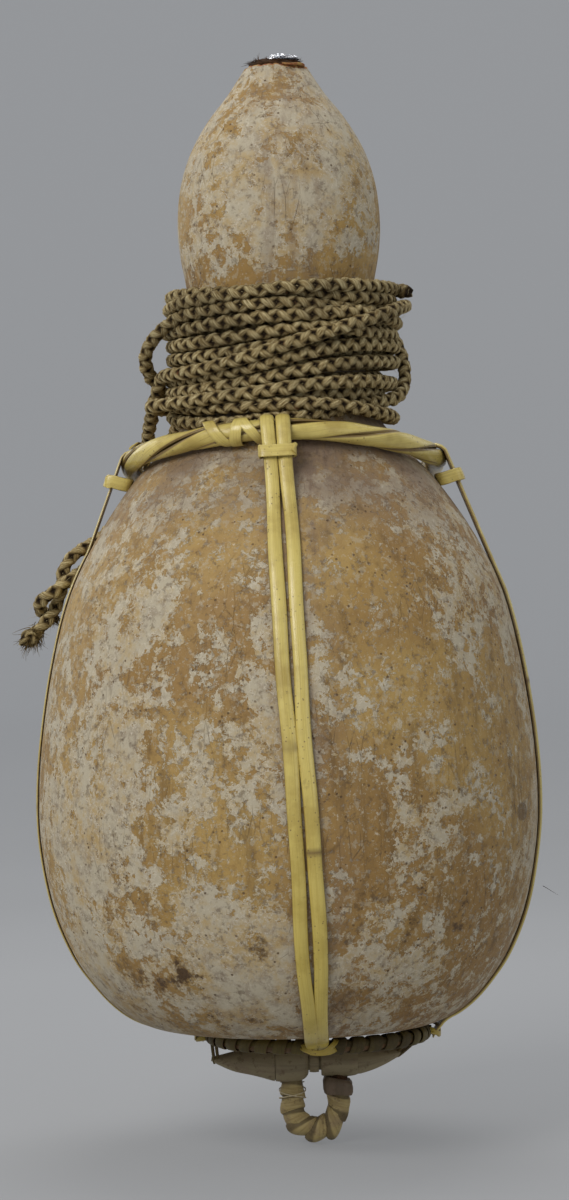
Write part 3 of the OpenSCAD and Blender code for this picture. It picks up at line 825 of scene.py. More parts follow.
def settle(lines, diameter, rounds):
    """Rope stretches that lie in each other move apart and off the gourd."""
    start = np.vstack(lines)
    owner = np.concatenate([np.full(len(p), i) for i, p in enumerate(lines)])
    index = np.concatenate([np.arange(len(p)) for p in lines])
    at = start.copy()
    ends = np.cumsum([0] + [len(p) for p in lines])
    for round_ in range(rounds):
        if round_ % 8 == 0:
            gap = np.linalg.norm(at[:, None] - at[None], axis=2)
            near = np.triu(gap < diameter * 1.9, 1)
            near &= (owner[:, None] != owner[None]) | (np.abs(index[:, None] - index[None]) > 5)
            a, b = np.nonzero(near)
        between = at[a] - at[b]
        apart = np.linalg.norm(between, axis=1)
        short = np.clip(diameter * 1.03 - apart, 0, None) / np.maximum(apart, 1e-6)
        push = between * (0.32 * short)[:, None]
        np.add.at(at, a, push)
        np.add.at(at, b, -push)
        moved = at - start
        for i in range(len(lines)):
            m = moved[ends[i]:ends[i + 1]]
            inner = m[1:-1]
            m[1:-1] = inner + 0.30 * ((m[:-2] + m[2:]) / 2 - inner)
        at = start + moved * 0.995
        r = np.hypot(at[:, 0], at[:, 1])
        floor = skin_r(at[:, 2]) + diameter / 2 + 0.0002
        sunk = (r < floor) & (at[:, 2] > 0.30)
        at[sunk, :2] *= (floor[sunk] / r[sunk])[:, None]
    return [at[ends[i]:ends[i + 1]] for i in range(len(lines))]


def plaited(name, line, diameter):
    """A four-strand round plait along a line: two strands each way, over and under in turn, round a core."""
    s = sizes()
    ahead = tangents(line)
    up = np.zeros_like(line)
    up[0] = unit(np.cross(ahead[0], (0.3, 0.2, 1.0)))
    for i in range(1, len(line)):
        carried = up[i - 1] - ahead[i] * (up[i - 1] @ ahead[i])
        up[i] = carried / np.linalg.norm(carried)
    side = np.cross(ahead, up)
    along = lengths_along(line)
    wobble = 1 + 0.06 * np.sin(along * 210) + 0.05 * np.sin(along * 83 + 1)
    phase = TAU * along / s.plait_pitch + 0.5 * np.sin(along * 31)
    sides = 6
    points, quads, uvs, outs = [], [], [], []
    base = 0  # four strands, and a core that fills the middle
    for strand in range(5):
        core = strand == 4
        way = 1 if strand % 2 == 0 else -1
        angle = way * phase + math.pi * (strand // 2)
        over = np.cos(2 * phase) * way
        reach = diameter * (0.285 + 0.072 * over) * (
            wobble + 0.07 * np.sin(along * 330 + 2 * strand))
        out = np.cos(angle)[:, None] * up + np.sin(angle)[:, None] * side
        centre = line.copy() if core else line + out * reach[:, None]
        go = tangents(centre)
        out = unit(out - (out * go).sum(1, keepdims=True) * go)
        wide = np.cross(go, out)
        a = np.arange(sides) / sides * TAU + math.pi / 2
        w = diameter * (0.30 if core else 0.36) * np.cos(a)
        n = diameter * (0.30 if core else 0.25) * np.sin(a)
        ring = centre[:, None] + w[None, :, None] * wide[:, None] + n[None, :, None] * out[:, None]
        points.append(ring.reshape(-1, 3))
        # outwards: how far each point faces out of the rope, raised where the strand goes over; the rope's
        # finish paints shade where it is low and highlight where it is high
        outs.append(np.full(len(line) * sides, 0.75) if core else np.clip(
            np.tile(np.sin(a), len(line)) * 0.75 + np.repeat(over, sides) * 0.25, 0, 1))
        i = np.arange(len(line) - 1)[:, None]
        j = np.arange(sides)[None]
        jn = (j + 1) % sides
        quads.append((base + np.stack([i * sides + j + 0 * jn, i * sides + jn, (i + 1) * sides + jn,
                                       (i + 1) * sides + j + 0 * jn], axis=-1)).reshape(-1, 4))
        start, end = 0 * i + j / sides, 0 * i + (j + 1) / sides
        u = np.stack([start, end, end, start], -1)
        start, end = along[i] + 0 * j, along[i + 1] + 0 * j
        v = np.stack([start, start, end, end], -1)
        uvs.append(np.stack([u + strand, v + 0.37 * strand], -1).reshape(-1, 2))
        base += len(line) * sides
    faces = np.vstack(quads)
    mesh = bpy.data.meshes.new(name)
    mesh.from_pydata(np.vstack(points).tolist(), [], faces.tolist())
    mesh.uv_layers.new(name="UVMap").data.foreach_set("uv", np.vstack(uvs).astype(np.float32).ravel())
    mesh.attributes.new("outwards", "FLOAT", "POINT").data.foreach_set(
        "value", np.concatenate(outs).astype(np.float32))
    obj = bpy.data.objects.new(name, mesh)
    bpy.context.scene.collection.objects.link(obj)
    pick(obj)
    bpy.ops.object.mode_set(mode="EDIT")
    bpy.ops.mesh.select_all(action="SELECT")
    bpy.ops.mesh.fill_holes(sides=sides)
    bpy.ops.mesh.select_all(action="SELECT")
    bpy.ops.mesh.normals_make_consistent(inside=False)
    bpy.ops.object.mode_set(mode="OBJECT")
    return shade(obj, 75)


def hairs(name, roots, ways, lengths, thick, rng, curl=0.5):
    """Fine tapered hairs, three-sided, bent at random."""
    steps = 4
    t = np.linspace(0, 1, steps + 1)
    points, faces = [], []
    for root, way, long in zip(roots, ways, lengths):
        bend = unit(rng.normal(size=3)) * curl
        line = root + long * (t[:, None] * way + (t ** 2)[:, None] * bend * 0.5)
        go = tangents(line)
        side = unit(np.cross(go, (0.31, 0.52, 0.79)))
        up = np.cross(go, side)
        r = thick * (1 - 0.8 * t)
        base = len(points)
        for i in range(steps + 1):
            for k in range(3):
                a = TAU * k / 3
                points.append(line[i] + r[i] * (math.cos(a) * side[i] + math.sin(a) * up[i]))
        for i in range(steps):
            for k in range(3):
                m = (k + 1) % 3
                faces.append((base + i * 3 + k, base + i * 3 + m, base + i * 3 + 3 + m, base + i * 3 + 3 + k))
        faces.append((base + 2, base + 1, base))
        faces.append((base + steps * 3, base + steps * 3 + 1, base + steps * 3 + 2))
    mesh = bpy.data.meshes.new(name)
    mesh.from_pydata([tuple(p) for p in points], [], faces)
    obj = bpy.data.objects.new(name, mesh)
    bpy.context.scene.collection.objects.link(obj)
    return shade(tidy_normals(obj), 80)


class VESSEL_OT_rope(bpy.types.Operator):
    """Make the plaited rope wound on the waist, its second end, the frayed tuft and the loose hairs"""
    bl_idname = "vessel.rope"
    bl_label = "Plaited rope"

    def execute(self, context):
        s = sizes()
        d = s.rope_diameter
        stub = np.array([(70.5, -6, 411.5), (66, -2, 410.5)]) * MM
        outer = np.vstack([stub, outer_winding()])
        outer = spaced(outer, ROPE_STEP)
        inner = spaced(inner_winding(), ROPE_STEP)
        main_line = np.vstack([outer, TAIL_ROUTE])
        second_line = np.vstack([inner, SECOND_ROUTE])
        lines = [spaced(smooth_line(spaced(line, 2 * ROPE_STEP), 3), ROPE_STEP)
                 for line in (main_line, second_line)]
        main_line, second_line = settle(lines, d, 160)
        rng = np.random.default_rng(11)
        made = []
        for name, line, nodes in (
                ("rope", main_line, ("rope_winding", "rope_tail", "rope_tuft")),
                ("rope_second_end", second_line, ("rope_second_tail",))):
            path = spaced(smooth_line(line, 3), PLAIT_STEP)
            for _ in range(2):
                path[1:-1] = path[1:-1] * 0.5 + (path[:-2] + path[2:]) * 0.25
            rope = plaited(name, path, d)
            finish_piece(rope, "vessel", finish("rope"), nodes)
            made.append((rope, path))
        # loose hairs stand off the rope everywhere
        roots, ways, longs = [], [], []
        for _, path in made:
            go = tangents(path)
            pickd = rng.integers(5, len(path) - 5, int(len(path) * 0.34))
            for i in pickd:
                out = unit(np.cross(go[i], rng.normal(size=3)))
                roots.append(path[i] + out * d * 0.40)
                ways.append(unit(out * 0.55 + go[i] * rng.choice([-1, 1]) * rng.uniform(0.5, 1.6)))
                longs.append(s.hair_length * rng.uniform(0.35, 1.3))
        fuzz = hairs("rope_hairs", roots, ways, longs, 0.00011, rng)
        finish_piece(fuzz, "vessel", finish("rope_hair"))
        # the frayed tuft at the first end
        (rope, path), (second, second_path) = made
        end, way = path[-1], unit(path[-1] - path[-6])
        roots, ways, longs = [], [], []
        for _ in range(420):
            spread = rng.normal(size=3) * 0.6
            ways.append(unit(way + spread + (-0.2, 0, -0.8)))
            roots.append(end - way * rng.uniform(-0.002, 0.005) + rng.normal(size=3) * 0.0017)
            longs.append(rng.uniform(0.003, 0.009))
        tuft = hairs("rope_tuft_fibres", roots, ways, longs, 0.00032, rng, 0.9)
        knot_line = end + np.array([
            (0, 0, 0), (-2.6, -1.5, 0.6), (-5.2, 0.5, -0.6), (-4.2, 2.6, -3.6), (-1.0, 1.2, -4.6),
            (0.4, -2.2, -2.6), (-2.2, -3.2, 0.6), (-5.4, -2.0, -2.4), (-6.2, 1.2, -5.2)]) * MM
        knot = plaited("rope_tuft_knot", spaced(smooth_line(knot_line, 8), 0.0012), d * 0.62)
        knot.data.materials.append(finish("rope"))
        finish_piece(tuft, "vessel", finish("frayed"))
        finish_piece(knot, "vessel", finish("rope"))
        # the chunk that ends the second end
        end2, way2 = second_path[-1], unit(second_path[-1] - second_path[-6])
        roots = [end2 + rng.normal(size=3) * 0.0013 for _ in range(120)]
        ways = [unit(way2 + rng.normal(size=3) * 0.55) for _ in range(120)]
        chunk = hairs("rope_second_end_fibres", roots, ways, rng.uniform(0.002, 0.006, 120), 0.0003, rng, 0.6)
        finish_piece(chunk, "vessel", finish("frayed"))
        return {"FINISHED"}


# ---------------------------------------------------------------- gourd

class VESSEL_OT_gourd(bpy.types.Operator):
    """Make the gourd's shell with its uneven skin and chipped mouth"""
    bl_idname = "vessel.gourd"
    bl_label = "Gourd"

    def execute(self, context):
        s = sizes()
        inside = beside(smooth_line(GOURD_KEY, 2), -s.shell)
        inside = inside[(inside[:, 1] < 0.529) & (inside[:, 0] > 0)]
        rim = np.array([
            (17.1, 536.5), (16.2, 536.8), (15.0, 536.5), (14.2, 535.9), (13.9, 534), (13.8, 529)]) * MM
        profile = np.vstack([GOURD_LINE, rim, inside[::-1], [(0, GOURD_KEY[0][1] + s.shell)]])
        gourd = turned("gourd", profile, 240)
        co = points_of(gourd)
        r, az, z = np.hypot(co[:, 0], co[:, 1]), np.arctan2(co[:, 1], co[:, 0]), co[:, 2]
        reach = ease((r - 0.02) / 0.06) * ease((z - 0.012) / 0.03)
        swell = 1 + unevenness(az, z) * reach / np.maximum(r, 1e-6)
        mouth = ease((z - 0.530) / 0.006)
        ragged = (0.35 * np.sin(3 * az + 1) + 0.25 * np.sin(7 * az) + 0.18 * np.sin(17 * az + 2)
                  + 0.12 * np.sin(31 * az)) * MM
        chip = np.exp(-((az + 0.75) / 0.42) ** 2) * (r > 0.0158)
        z = z + mouth * (ragged - chip * 1.5 * MM)
        swell = swell * (1 - mouth * chip * 0.05)
        move_points(gourd, np.column_stack([co[:, 0] * swell, co[:, 1] * swell, z]))
        for name in ("gourd_skin", "cut_edge", "inner_wall"):
            gourd.data.materials.append(finish(name))
        for face in gourd.data.polygons:
            c = face.center
            far = math.hypot(c.x, c.y)
            if c.z > 0.5352 and far < 0.0176:
                face.material_index = 1
            elif c.z > 0.03 and far < skin_r(c.z) - 0.003 or 0.0125 < c.z <= 0.03 and far < 0.08:
                face.material_index = 2
        shade(gourd, 55)
        finish_piece(gourd, "vessel", finish("gourd_skin"), ["gourd_shell"])
        # a broken ledge of rind at the right of the mouth
        a = np.linspace(-1.35, -0.15, 14)
        ledge_line = polar(0.0152 + 0.0005 * np.sin(a * 9), a, 0.5372 + 0.0003 * np.sin(a * 7))
        ledge = swept("mouth_ledge", ledge_line, (0, 0, 1), flat_band(4.2 * MM, 1.7 * MM),
                      size=0.55 + 0.45 * np.sin(np.linspace(0.3, math.pi - 0.3, 14)))
        finish_piece(ledge, "vessel", finish("cut_edge"))
        return {"FINISHED"}


# ---------------------------------------------------------------- cane cage

COLLAR_CLEAR, COLLAR_LOOSE, PACK_R, HOOK_R = 7.4 * MM, 0.3 * MM, 3.7 * MM, 6.0 * MM
COLLAR_LINE = beside(GOURD_LINE, COLLAR_CLEAR)
COLLAR_LINE = COLLAR_LINE[(COLLAR_LINE[:, 1] > 0.15) & (COLLAR_LINE[:, 1] < 0.35)]
HOOP_X, HOOP_R = 13 * MM, 58 * MM
HOOP_Z = 4.15 * MM
HOOP_OUT = HOOP_R + 4.7 * MM
PAIRS = {  # azimuth, sideways at the base and at the top, height where the pair leaves the gourd
    "front": (-90, 13, -4, 296), "right": (0, 0, 0, 252),
    "back": (90, -13, -4, 268), "left": (180, 0, -3, 278)}


def collar_middle(az):
    z = 0.320 - 0.015 * np.sin(az)
    r = np.interp(z, COLLAR_LINE[:, 1], COLLAR_LINE[:, 0]) + COLLAR_LOOSE * np.cos(az) ** 2
    return polar(r, np.asarray(az, float), z)


def about_collar(az, angle, reach):
    """A point round the collar's middle: angle 0 is outwards, 90 degrees is up."""
    middle = collar_middle(az)
    ahead = unit(collar_middle(az + 0.01) - collar_middle(az - 0.01))
    out = unit(np.cross(ahead, np.broadcast_to((0.0, 0.0, 1.0), ahead.shape)))
    up = np.cross(out, ahead)
    turn = np.cos(angle)[..., None] * out + np.sin(angle)[..., None] * up
    return middle + np.asarray(reach)[..., None] * turn, turn


class VESSEL_OT_collar(bpy.types.Operator):
    """Make the three strands twisted into the collar and the cane lashed round it"""
    bl_idname = "vessel.collar"
    bl_label = "Collar"

    def execute(self, context):
        s = sizes()
        az = np.linspace(0, TAU, 300, endpoint=False)
        section = half_round(s.strand_width, s.strand_thickness, s.strand_thickness * 0.45)
        for i in range(3):
            turn = 3 * az + i * TAU / 3 + 0.35 * np.sin(3 * az + i)
            reach = PACK_R + 0.5 * MM * np.sin(7 * az + 2 * i)
            line, out = about_collar(az, turn, reach)
            strand = swept(f"collar_band_{i + 1}", line, out, section, closed=True,
                           size=1 + 0.05 * np.sin(9 * az + i), smooth=40)
            finish_piece(strand, "vessel", finish("split_cane"), [f"collar_strand_{i + 1}"])
        band = flat_band(s.band_width, 1.2 * MM)
        parts = []
        for k, (centre, slant, wide) in enumerate(((-109.5, 0.02, 1.0), (-103.2, -0.075, 0.86))):
            a = np.linspace(0, TAU, 40, endpoint=False)
            line, out = about_collar(math.radians(centre) + slant * np.sin(a), a, 7.0 * MM + 0 * a)
            parts.append(swept(f"lashing_{k}", line, out, band * (wide, 1), closed=True))
        a = np.linspace(2.6, -1.5, 26)
        line, out = about_collar(np.radians(np.linspace(-127, -113, 26)), a, (7.0 + 0.5 * np.sin(a)) * MM)
        parts.append(swept("lashing_cross", line, out, band * (0.95, 1)))
        a = np.linspace(0.9, 3.6, 18)
        line, out = about_collar(np.radians(np.linspace(-166, -178, 18)), a, (7.0 + 0 * a) * MM)
        parts.append(swept("lashing_fold", line, out, band))
        lashing = join(parts, "collar_lashings")
        finish_piece(lashing, "vessel", finish("split_cane"), ["collar_lashing"])
        return {"FINISHED"}


SEAT_LINE = beside(GOURD_LINE, 0.3 * MM)[::-1]


def pair_line(pair, side):
    """A cane's inner face as (outwards, height), from its hook over the collar down to the hoop."""
    az, base, top, away = pair
    az, away = math.radians(az), away * MM
    slant = (top - base) / 340
    middle = collar_middle(np.array(az))
    centre = np.array([math.hypot(middle[0], middle[1]), middle[2]])
    landing = SEAT_LINE[SEAT_LINE[:, 1] < away][0]
    v = landing - centre
    end = math.atan2(v[0] - HOOK_R, -v[1])
    hook = [centre + HOOK_R * np.array([math.cos(a), math.sin(a)])
            for a in np.linspace(math.radians(190), end, 15)]
    foot = HOOP_OUT + HOOP_X * math.cos(az)
    near = np.maximum(0, np.abs(base * MM + slant * SEAT_LINE[:, 1] + side) - sizes().cane_width / 2)
    keep = (SEAT_LINE[:, 1] < away) & (SEAT_LINE[:, 0] > foot + 9 * MM) & (SEAT_LINE[:, 0] > near)
    seat = np.column_stack([np.sqrt(SEAT_LINE[keep, 0] ** 2 - near[keep] ** 2), SEAT_LINE[keep, 1]])
    seat[:, 0] += unevenness(az, seat[:, 1]) * ease((seat[:, 1] - 0.02) / 0.03)
    gap = (seat[0] - hook[-1])
    straight = [hook[-1] + gap * t for t in np.linspace(0.2, 0.85, max(2, int(np.linalg.norm(gap) / 0.008)))]
    base_line = GOURD_LINE[GOURD_LINE[:, 1] < 0.06]
    under = np.interp(foot + 6 * MM, base_line[:, 0], base_line[:, 1])
    feet = np.array([(foot + 6 * MM, under - 1.6 * MM), (foot + 2.6 * MM, 6.2 * MM),
                     (foot + 0.9 * MM, 3.6 * MM), (foot + 0.4 * MM, 0.8 * MM)])
    return spaced(smooth_line(np.vstack([hook, straight, seat, feet]), 4), 0.0028)


def stand(flat, pair, sideways):
    """Flat (outwards, height) points set up at their pair's azimuth."""
    az, base, top, _ = pair
    az = math.radians(az)
    y = (base + (top - base) / 340 * flat[:, 1] / MM) * MM + sideways
    x = flat[:, 0]
    return np.column_stack([
        x * math.cos(az) - y * math.sin(az), x * math.sin(az) + y * math.cos(az), flat[:, 1]])


def cane(name, pair, side, marks, lapped=0.0, thin=1.0):
    s = sizes()
    flat = pair_line(pair, side)
    low = 1 - ease((flat[:, 1] - 0.010) / 0.045)
    wander = (0.5 * np.sin(flat[:, 1] * 38 + side * 900) + 0.25 * np.sin(flat[:, 1] * 91 + side * 300)) * MM
    line = stand(flat, pair, side + wander + abs(lapped) * low * np.sign(-side if side else 1))
    d = tangents(flat)
    out = np.column_stack([-d[:, 1], d[:, 0]])
    az = math.radians(pair[0])
    up = np.column_stack([out[:, 0] * math.cos(az), out[:, 0] * math.sin(az), out[:, 1]])
    line = line + up * (0.42 * max(lapped, 0) * low)[:, None]
    along = lengths_along(line)
    size = 1 + 0.035 * np.sin(along * 23 + side * 500) + 0.02 * np.sin(along * 71)
    size[:3] *= (0.55, 0.8, 0.95)
    size[-5:] *= (0.98, 0.94, 0.84, 0.66, 0.36)
    mark = np.zeros(len(line))
    for height in marks:
        at = np.exp(-((flat[:, 1] - height * MM) / (1.3 * MM)) ** 2) * (along > 0.05)
        size = size + 0.075 * at
        mark = np.maximum(mark, at)
    return swept(name, line, up, half_round(s.cane_width, s.cane_thickness * thin), size=size, mark=mark,
                 smooth=38)


class VESSEL_OT_canes(bpy.types.Operator):
    """Make the four pairs of upright split canes"""
    bl_idname = "vessel.canes"
    bl_label = "Upright canes"

    def execute(self, context):
        shift = (sizes().cane_width + 1 * MM) / 2
        rows = (("front_left", "front_cane_left", "front", -shift, (169.5,), 1.0 * MM),
                ("front_right", "front_cane_right", "front", shift, (115.0,), -2.0 * MM),
                ("right_front", "right_cane_front", "right", -shift, (196.0,), 0.0),
                ("right_rear", "right_cane_rear", "right", shift, (88.0,), 0.0),
                ("back_left", "back_cane_left", "back", shift, (150.0,), 0.0),
                ("back_right", "back_cane_right", "back", -shift, (212.0, 62.0), 0.0),
                ("left_front", "left_cane_front", "left", shift, (131.0,), 0.0),
                ("left_rear", "left_cane_rear", "left", -shift, (180.0,), 0.0))
        thinned = {"front": 0.85, "left": 0.45}
        for name, node, pair, side, marks, lapped in rows:
            made = cane(f"cane_{name}", PAIRS[pair], side, marks, lapped, thinned.get(pair, 0.75))
            finish_piece(made, "vessel", finish("split_cane"), [node])
        # a fine splinter stands off the right pair
        root = stand(np.array([(0.1385, 0.083)]), PAIRS["right"], -shift)[0]
        rng = np.random.default_rng(5)
        way = unit(np.array((0.85, -0.1, -0.5)))
        splinter = hairs("cane_splinter", [root], [way], [0.010], 0.00022, rng, 0.2)
        finish_piece(splinter, "vessel", finish("splinter"))
        return {"FINISHED"}


class VESSEL_OT_ties(bpy.types.Operator):
    """Make the flat ties round the pairs under the collar"""
    bl_idname = "vessel.ties"
    bl_label = "Ties"

    def execute(self, context):
        s = sizes()
        for k, (name, pair) in enumerate(PAIRS.items()):
            az, base, top, away = pair
            angle = math.radians(az)
            middle = collar_middle(np.array(angle))
            centre = np.array([math.hypot(middle[0], middle[1]), middle[2]])
            landing = SEAT_LINE[SEAT_LINE[:, 1] < away * MM][0]
            v = landing - centre
            end = math.atan2(v[0] - HOOK_R, -v[1])
            start = centre + HOOK_R * np.array([math.cos(end), math.sin(end)])
            down = unit(landing - start)
            out = np.array([-down[1], down[0]])
            wide = 0 if name in ("front", "back") else 3.4 * MM
            below = (16.5 if name == "front" else 13.0) * MM
            flat = start + below * down + out * (s.cane_thickness / 2 - wide)
            place = stand(flat[None], pair, 0)[0]
            e_out = np.array([out[0] * math.cos(angle), out[0] * math.sin(angle), out[1]])
            lean = (top - base) / 340
            e_down = unit(np.array([
                down[0] * math.cos(angle) - lean * math.sin(angle) * down[1],
                down[0] * math.sin(angle) + lean * math.cos(angle) * down[1], down[1]]))
            e_side = unit(np.cross(e_out, e_down))
            half_w, half_t = s.cane_width + 1.5 * MM, s.cane_thickness / 2 + 1.1 * MM + wide
            t = np.linspace(-0.9, TAU + 0.75, 84)
            c, n = np.cos(t), np.sin(t)
            grow = 1 + 0.045 * (t - t[0]) / TAU
            x = np.sign(c) * np.abs(c) ** 0.42 * half_w * grow
            y = np.sign(n) * np.abs(n) ** 0.62 * half_t * (grow + 0.22 * (t - t[0]) / TAU)
            flare = ease((t - (TAU + 0.15)) / 0.6)
            lift = 1.0 * MM * np.sin(t) + 1.8 * MM * flare * (1 if k % 2 else -1)
            line = place + x[:, None] * e_side + y[:, None] * e_out + lift[:, None] * e_down
            go = tangents(line)
            up = unit(np.cross(go, e_down))
            size = np.ones(len(t))
            size[:3] *= (0.5, 0.75, 0.93)
            size[-3:] *= (0.93, 0.75, 0.5)
            band = flat_band(s.band_width * 1.08, 1.3 * MM)
            tie = swept(f"tie_{name}", line, up, band, size=size, smooth=40)
            finish_piece(tie, "vessel", finish("split_cane"), [f"{name}_tie"])
        return {"FINISHED"}


# ---------------------------------------------------------------- base hoop

class VESSEL_OT_hoop(bpy.types.Operator):
    """Make the base hoop, the cane coiled round it and the hitches at the feet of the pairs"""
    bl_idname = "vessel.hoop"
    bl_label = "Base hoop"

    def execute(self, context):
        s = sizes()
        az = np.linspace(0, TAU, 160, endpoint=False)
        line = polar(HOOP_R, az, HOOP_Z) + np.array((HOOP_X, 0, 0))
        hoop = swept("hoop_core", line, (0, 0, 1), oval(7.0 * MM, 7.0 * MM, 14), closed=True)
        finish_piece(hoop, "vessel", finish("dark_cane"), ["base_hoop"])
        rng = np.random.default_rng(3)
        a = np.linspace(0, TAU, 22, endpoint=False)
        coil_rows = []
        count = 36
        for i in range(count):
            middle = TAU * i / count
            lean = (0.020 + 0.010 * rng.uniform(-1, 1)) * np.sin(a)
            at = middle + lean
            r = HOOP_R + 4.25 * MM * np.cos(a)
            z = np.maximum(HOOP_Z + 4.25 * MM * np.sin(a), 0.5 * MM)
            coil_line = polar(r, at, z) + np.array((HOOP_X, 0, 0))
            up = polar(np.cos(a), at, np.sin(a))
            coil_rows.append(swept(f"coil_{i}", coil_line, up, flat_band(
                s.coil_width * rng.uniform(0.84, 1.05), 1.0 * MM, 8), closed=True, smooth=45))
        coils = join(coil_rows, "hoop_coils")
        finish_piece(coils, "vessel", finish("dark_cane"), ["hoop_wraps"])
        for name, (azimuth, *_) in PAIRS.items():
            angle = math.radians(azimuth)
            out = np.array((math.cos(angle), math.sin(angle), 0))
            side = np.array((-math.sin(angle), math.cos(angle), 0))
            foot = np.array((HOOP_X, 0, 0)) + out * HOOP_OUT
            strips = []
            for k, flat in enumerate((
                    [(-9.0, -3.0, 4.6), (-8.6, 0.8, 4.2), (-6.0, 3.4, 3.2), (-1.0, 4.6, 2.2), (3.5, 4.9, 3.0),
                     (7.0, 4.2, 5.6), (9.0, 1.2, 7.6), (9.2, -3.0, 8.2)],
                    [(9.0, -3.0, 3.4), (8.2, 0.6, 3.0), (5.0, 3.6, 2.2), (0.0, 4.3, 1.9), (-5.0, 3.4, 2.6),
                     (-8.0, 0.8, 5.4), (-8.6, -3.0, 6.2)])):
                flat = smooth_line(np.array(flat) * MM, 5)
                band_line = foot + flat[:, :1] * side + flat[:, 1:2] * out + flat[:, 2:] * np.array((0, 0, 1))
                go = tangents(band_line)
                up = unit(out - (go @ out)[:, None] * go + 1e-6)
                strips.append(swept(f"hitch_strip_{k}", band_line, up, flat_band(2.9 * MM, 1.0 * MM, 10)))
            hitch = join(strips, f"hitch_{name}")
            finish_piece(hitch, "vessel", finish("old_cane"), [f"{name}_hitch"])
        return {"FINISHED"}


# ---------------------------------------------------------------- strap and carrying loop

BAR_Z, LEG_X, BEND_Z = -11.8 * MM, (-1.6 * MM, 23.6 * MM), -36 * MM


def fluted(count, folds, depth, seed):
    """A round section with shallow folds, of radius 1."""
    a = np.arange(count) / count * TAU
    r = 1 + depth * np.sin(folds * a + seed) + depth * 0.6 * np.sin((2 * folds + 1) * a + 2 * seed)
    return np.column_stack([r * np.cos(a), r * np.sin(a)])


LEAF_FOLDS = fluted(40, 6, 0.02, 1.3)


class VESSEL_OT_strap(bpy.types.Operator):
    """Make the leaf strap across the hoop"""
    bl_idname = "vessel.strap"
    bl_label = "Leaf strap"

    def execute(self, context):
        def sheath(name, stations, node):
            fine = smooth_line(np.array(stations, float) * MM, 6)
            line = np.column_stack([fine[:, 0], 0 * fine[:, 0], fine[:, 1]])
            tube = swept(name, line, (0, 0, 1), LEAF_FOLDS, size=fine[:, 2:], smooth=60)
            finish_piece(tube, "vessel", finish("leaf"), node)
        sheath("strap_left", [(-46, -9.4, 3.0, 1.1), (-41, -10.2, 5.0, 3.0), (-33, -11.0, 7.0, 5.7),
                              (-24, -11.4, 8.6, 7.4), (-18, -11.6, 9.8, 8.8), (-11.6, -11.8, 10.6, 10.5),
                              (-10.9, -11.8, 9.9, 9.9), (-8.6, -11.8, 9.2, 9.2)],
               ["bar_sheath_left"])
        sheath("strap_right", [(32.8, -11.8, 6.4, 6.4), (35.2, -11.8, 7.4, 7.4), (42, -11.0, 7.0, 6.2),
                               (49, -9.6, 6.2, 4.6), (55, -8.2, 4.8, 2.8), (60, -7.2, 3.0, 1.1)],
               ["bar_sheath_right"])
        sheath("strap_middle", [(8.0, -11.8, 6.0, 6.0), (10.6, -11.8, 6.2, 6.2), (13.2, -11.8, 6.0, 6.0)],
               ["bar_sheath_middle"])
        sheath("strap_core", [(-36, -10.4, 4.2, 2.6), (-22, -11.3, 4.8, 4.4), (12, -11.8, 4.9, 4.9),
                              (42, -11.0, 4.6, 4.0), (53, -9.0, 3.6, 2.0)], ["base_bar"])
        # twine ties the strap's ends up to the hoop
        ties = []
        hoop_x, hoop_r, hoop_z = HOOP_X / MM, HOOP_R / MM, HOOP_Z / MM
        for tip, hold in (((-43.5, -9.8), (hoop_x - hoop_r, hoop_z)),
                          ((57.5, -7.8), (hoop_x + hoop_r, hoop_z))):
            tip, hold = np.array(tip), np.array(hold)
            go, far = unit(hold - tip), np.linalg.norm(hold - tip) / 2
            for k in (-1.1, 1.1):
                a = np.linspace(0, TAU, 40, endpoint=False)
                flat = (tip + hold) / 2 + k * np.array((-go[1], go[0]))
                flat = flat + np.outer(1.4 + (far + 3.2) * np.sin(a), go)
                line = np.column_stack([flat[:, 0], 5.0 * np.cos(a), flat[:, 1]]) * MM
                twine = oval(1.5 * MM, 1.5 * MM, 8)
                ties.append(swept("twine", line, (-go[1], 0, go[0]), twine, closed=True))
        bound = join(ties, "strap_end_ties")
        finish_piece(bound, "vessel", finish("dark_cane"), ["bar_end_ties"])
        return {"FINISHED"}


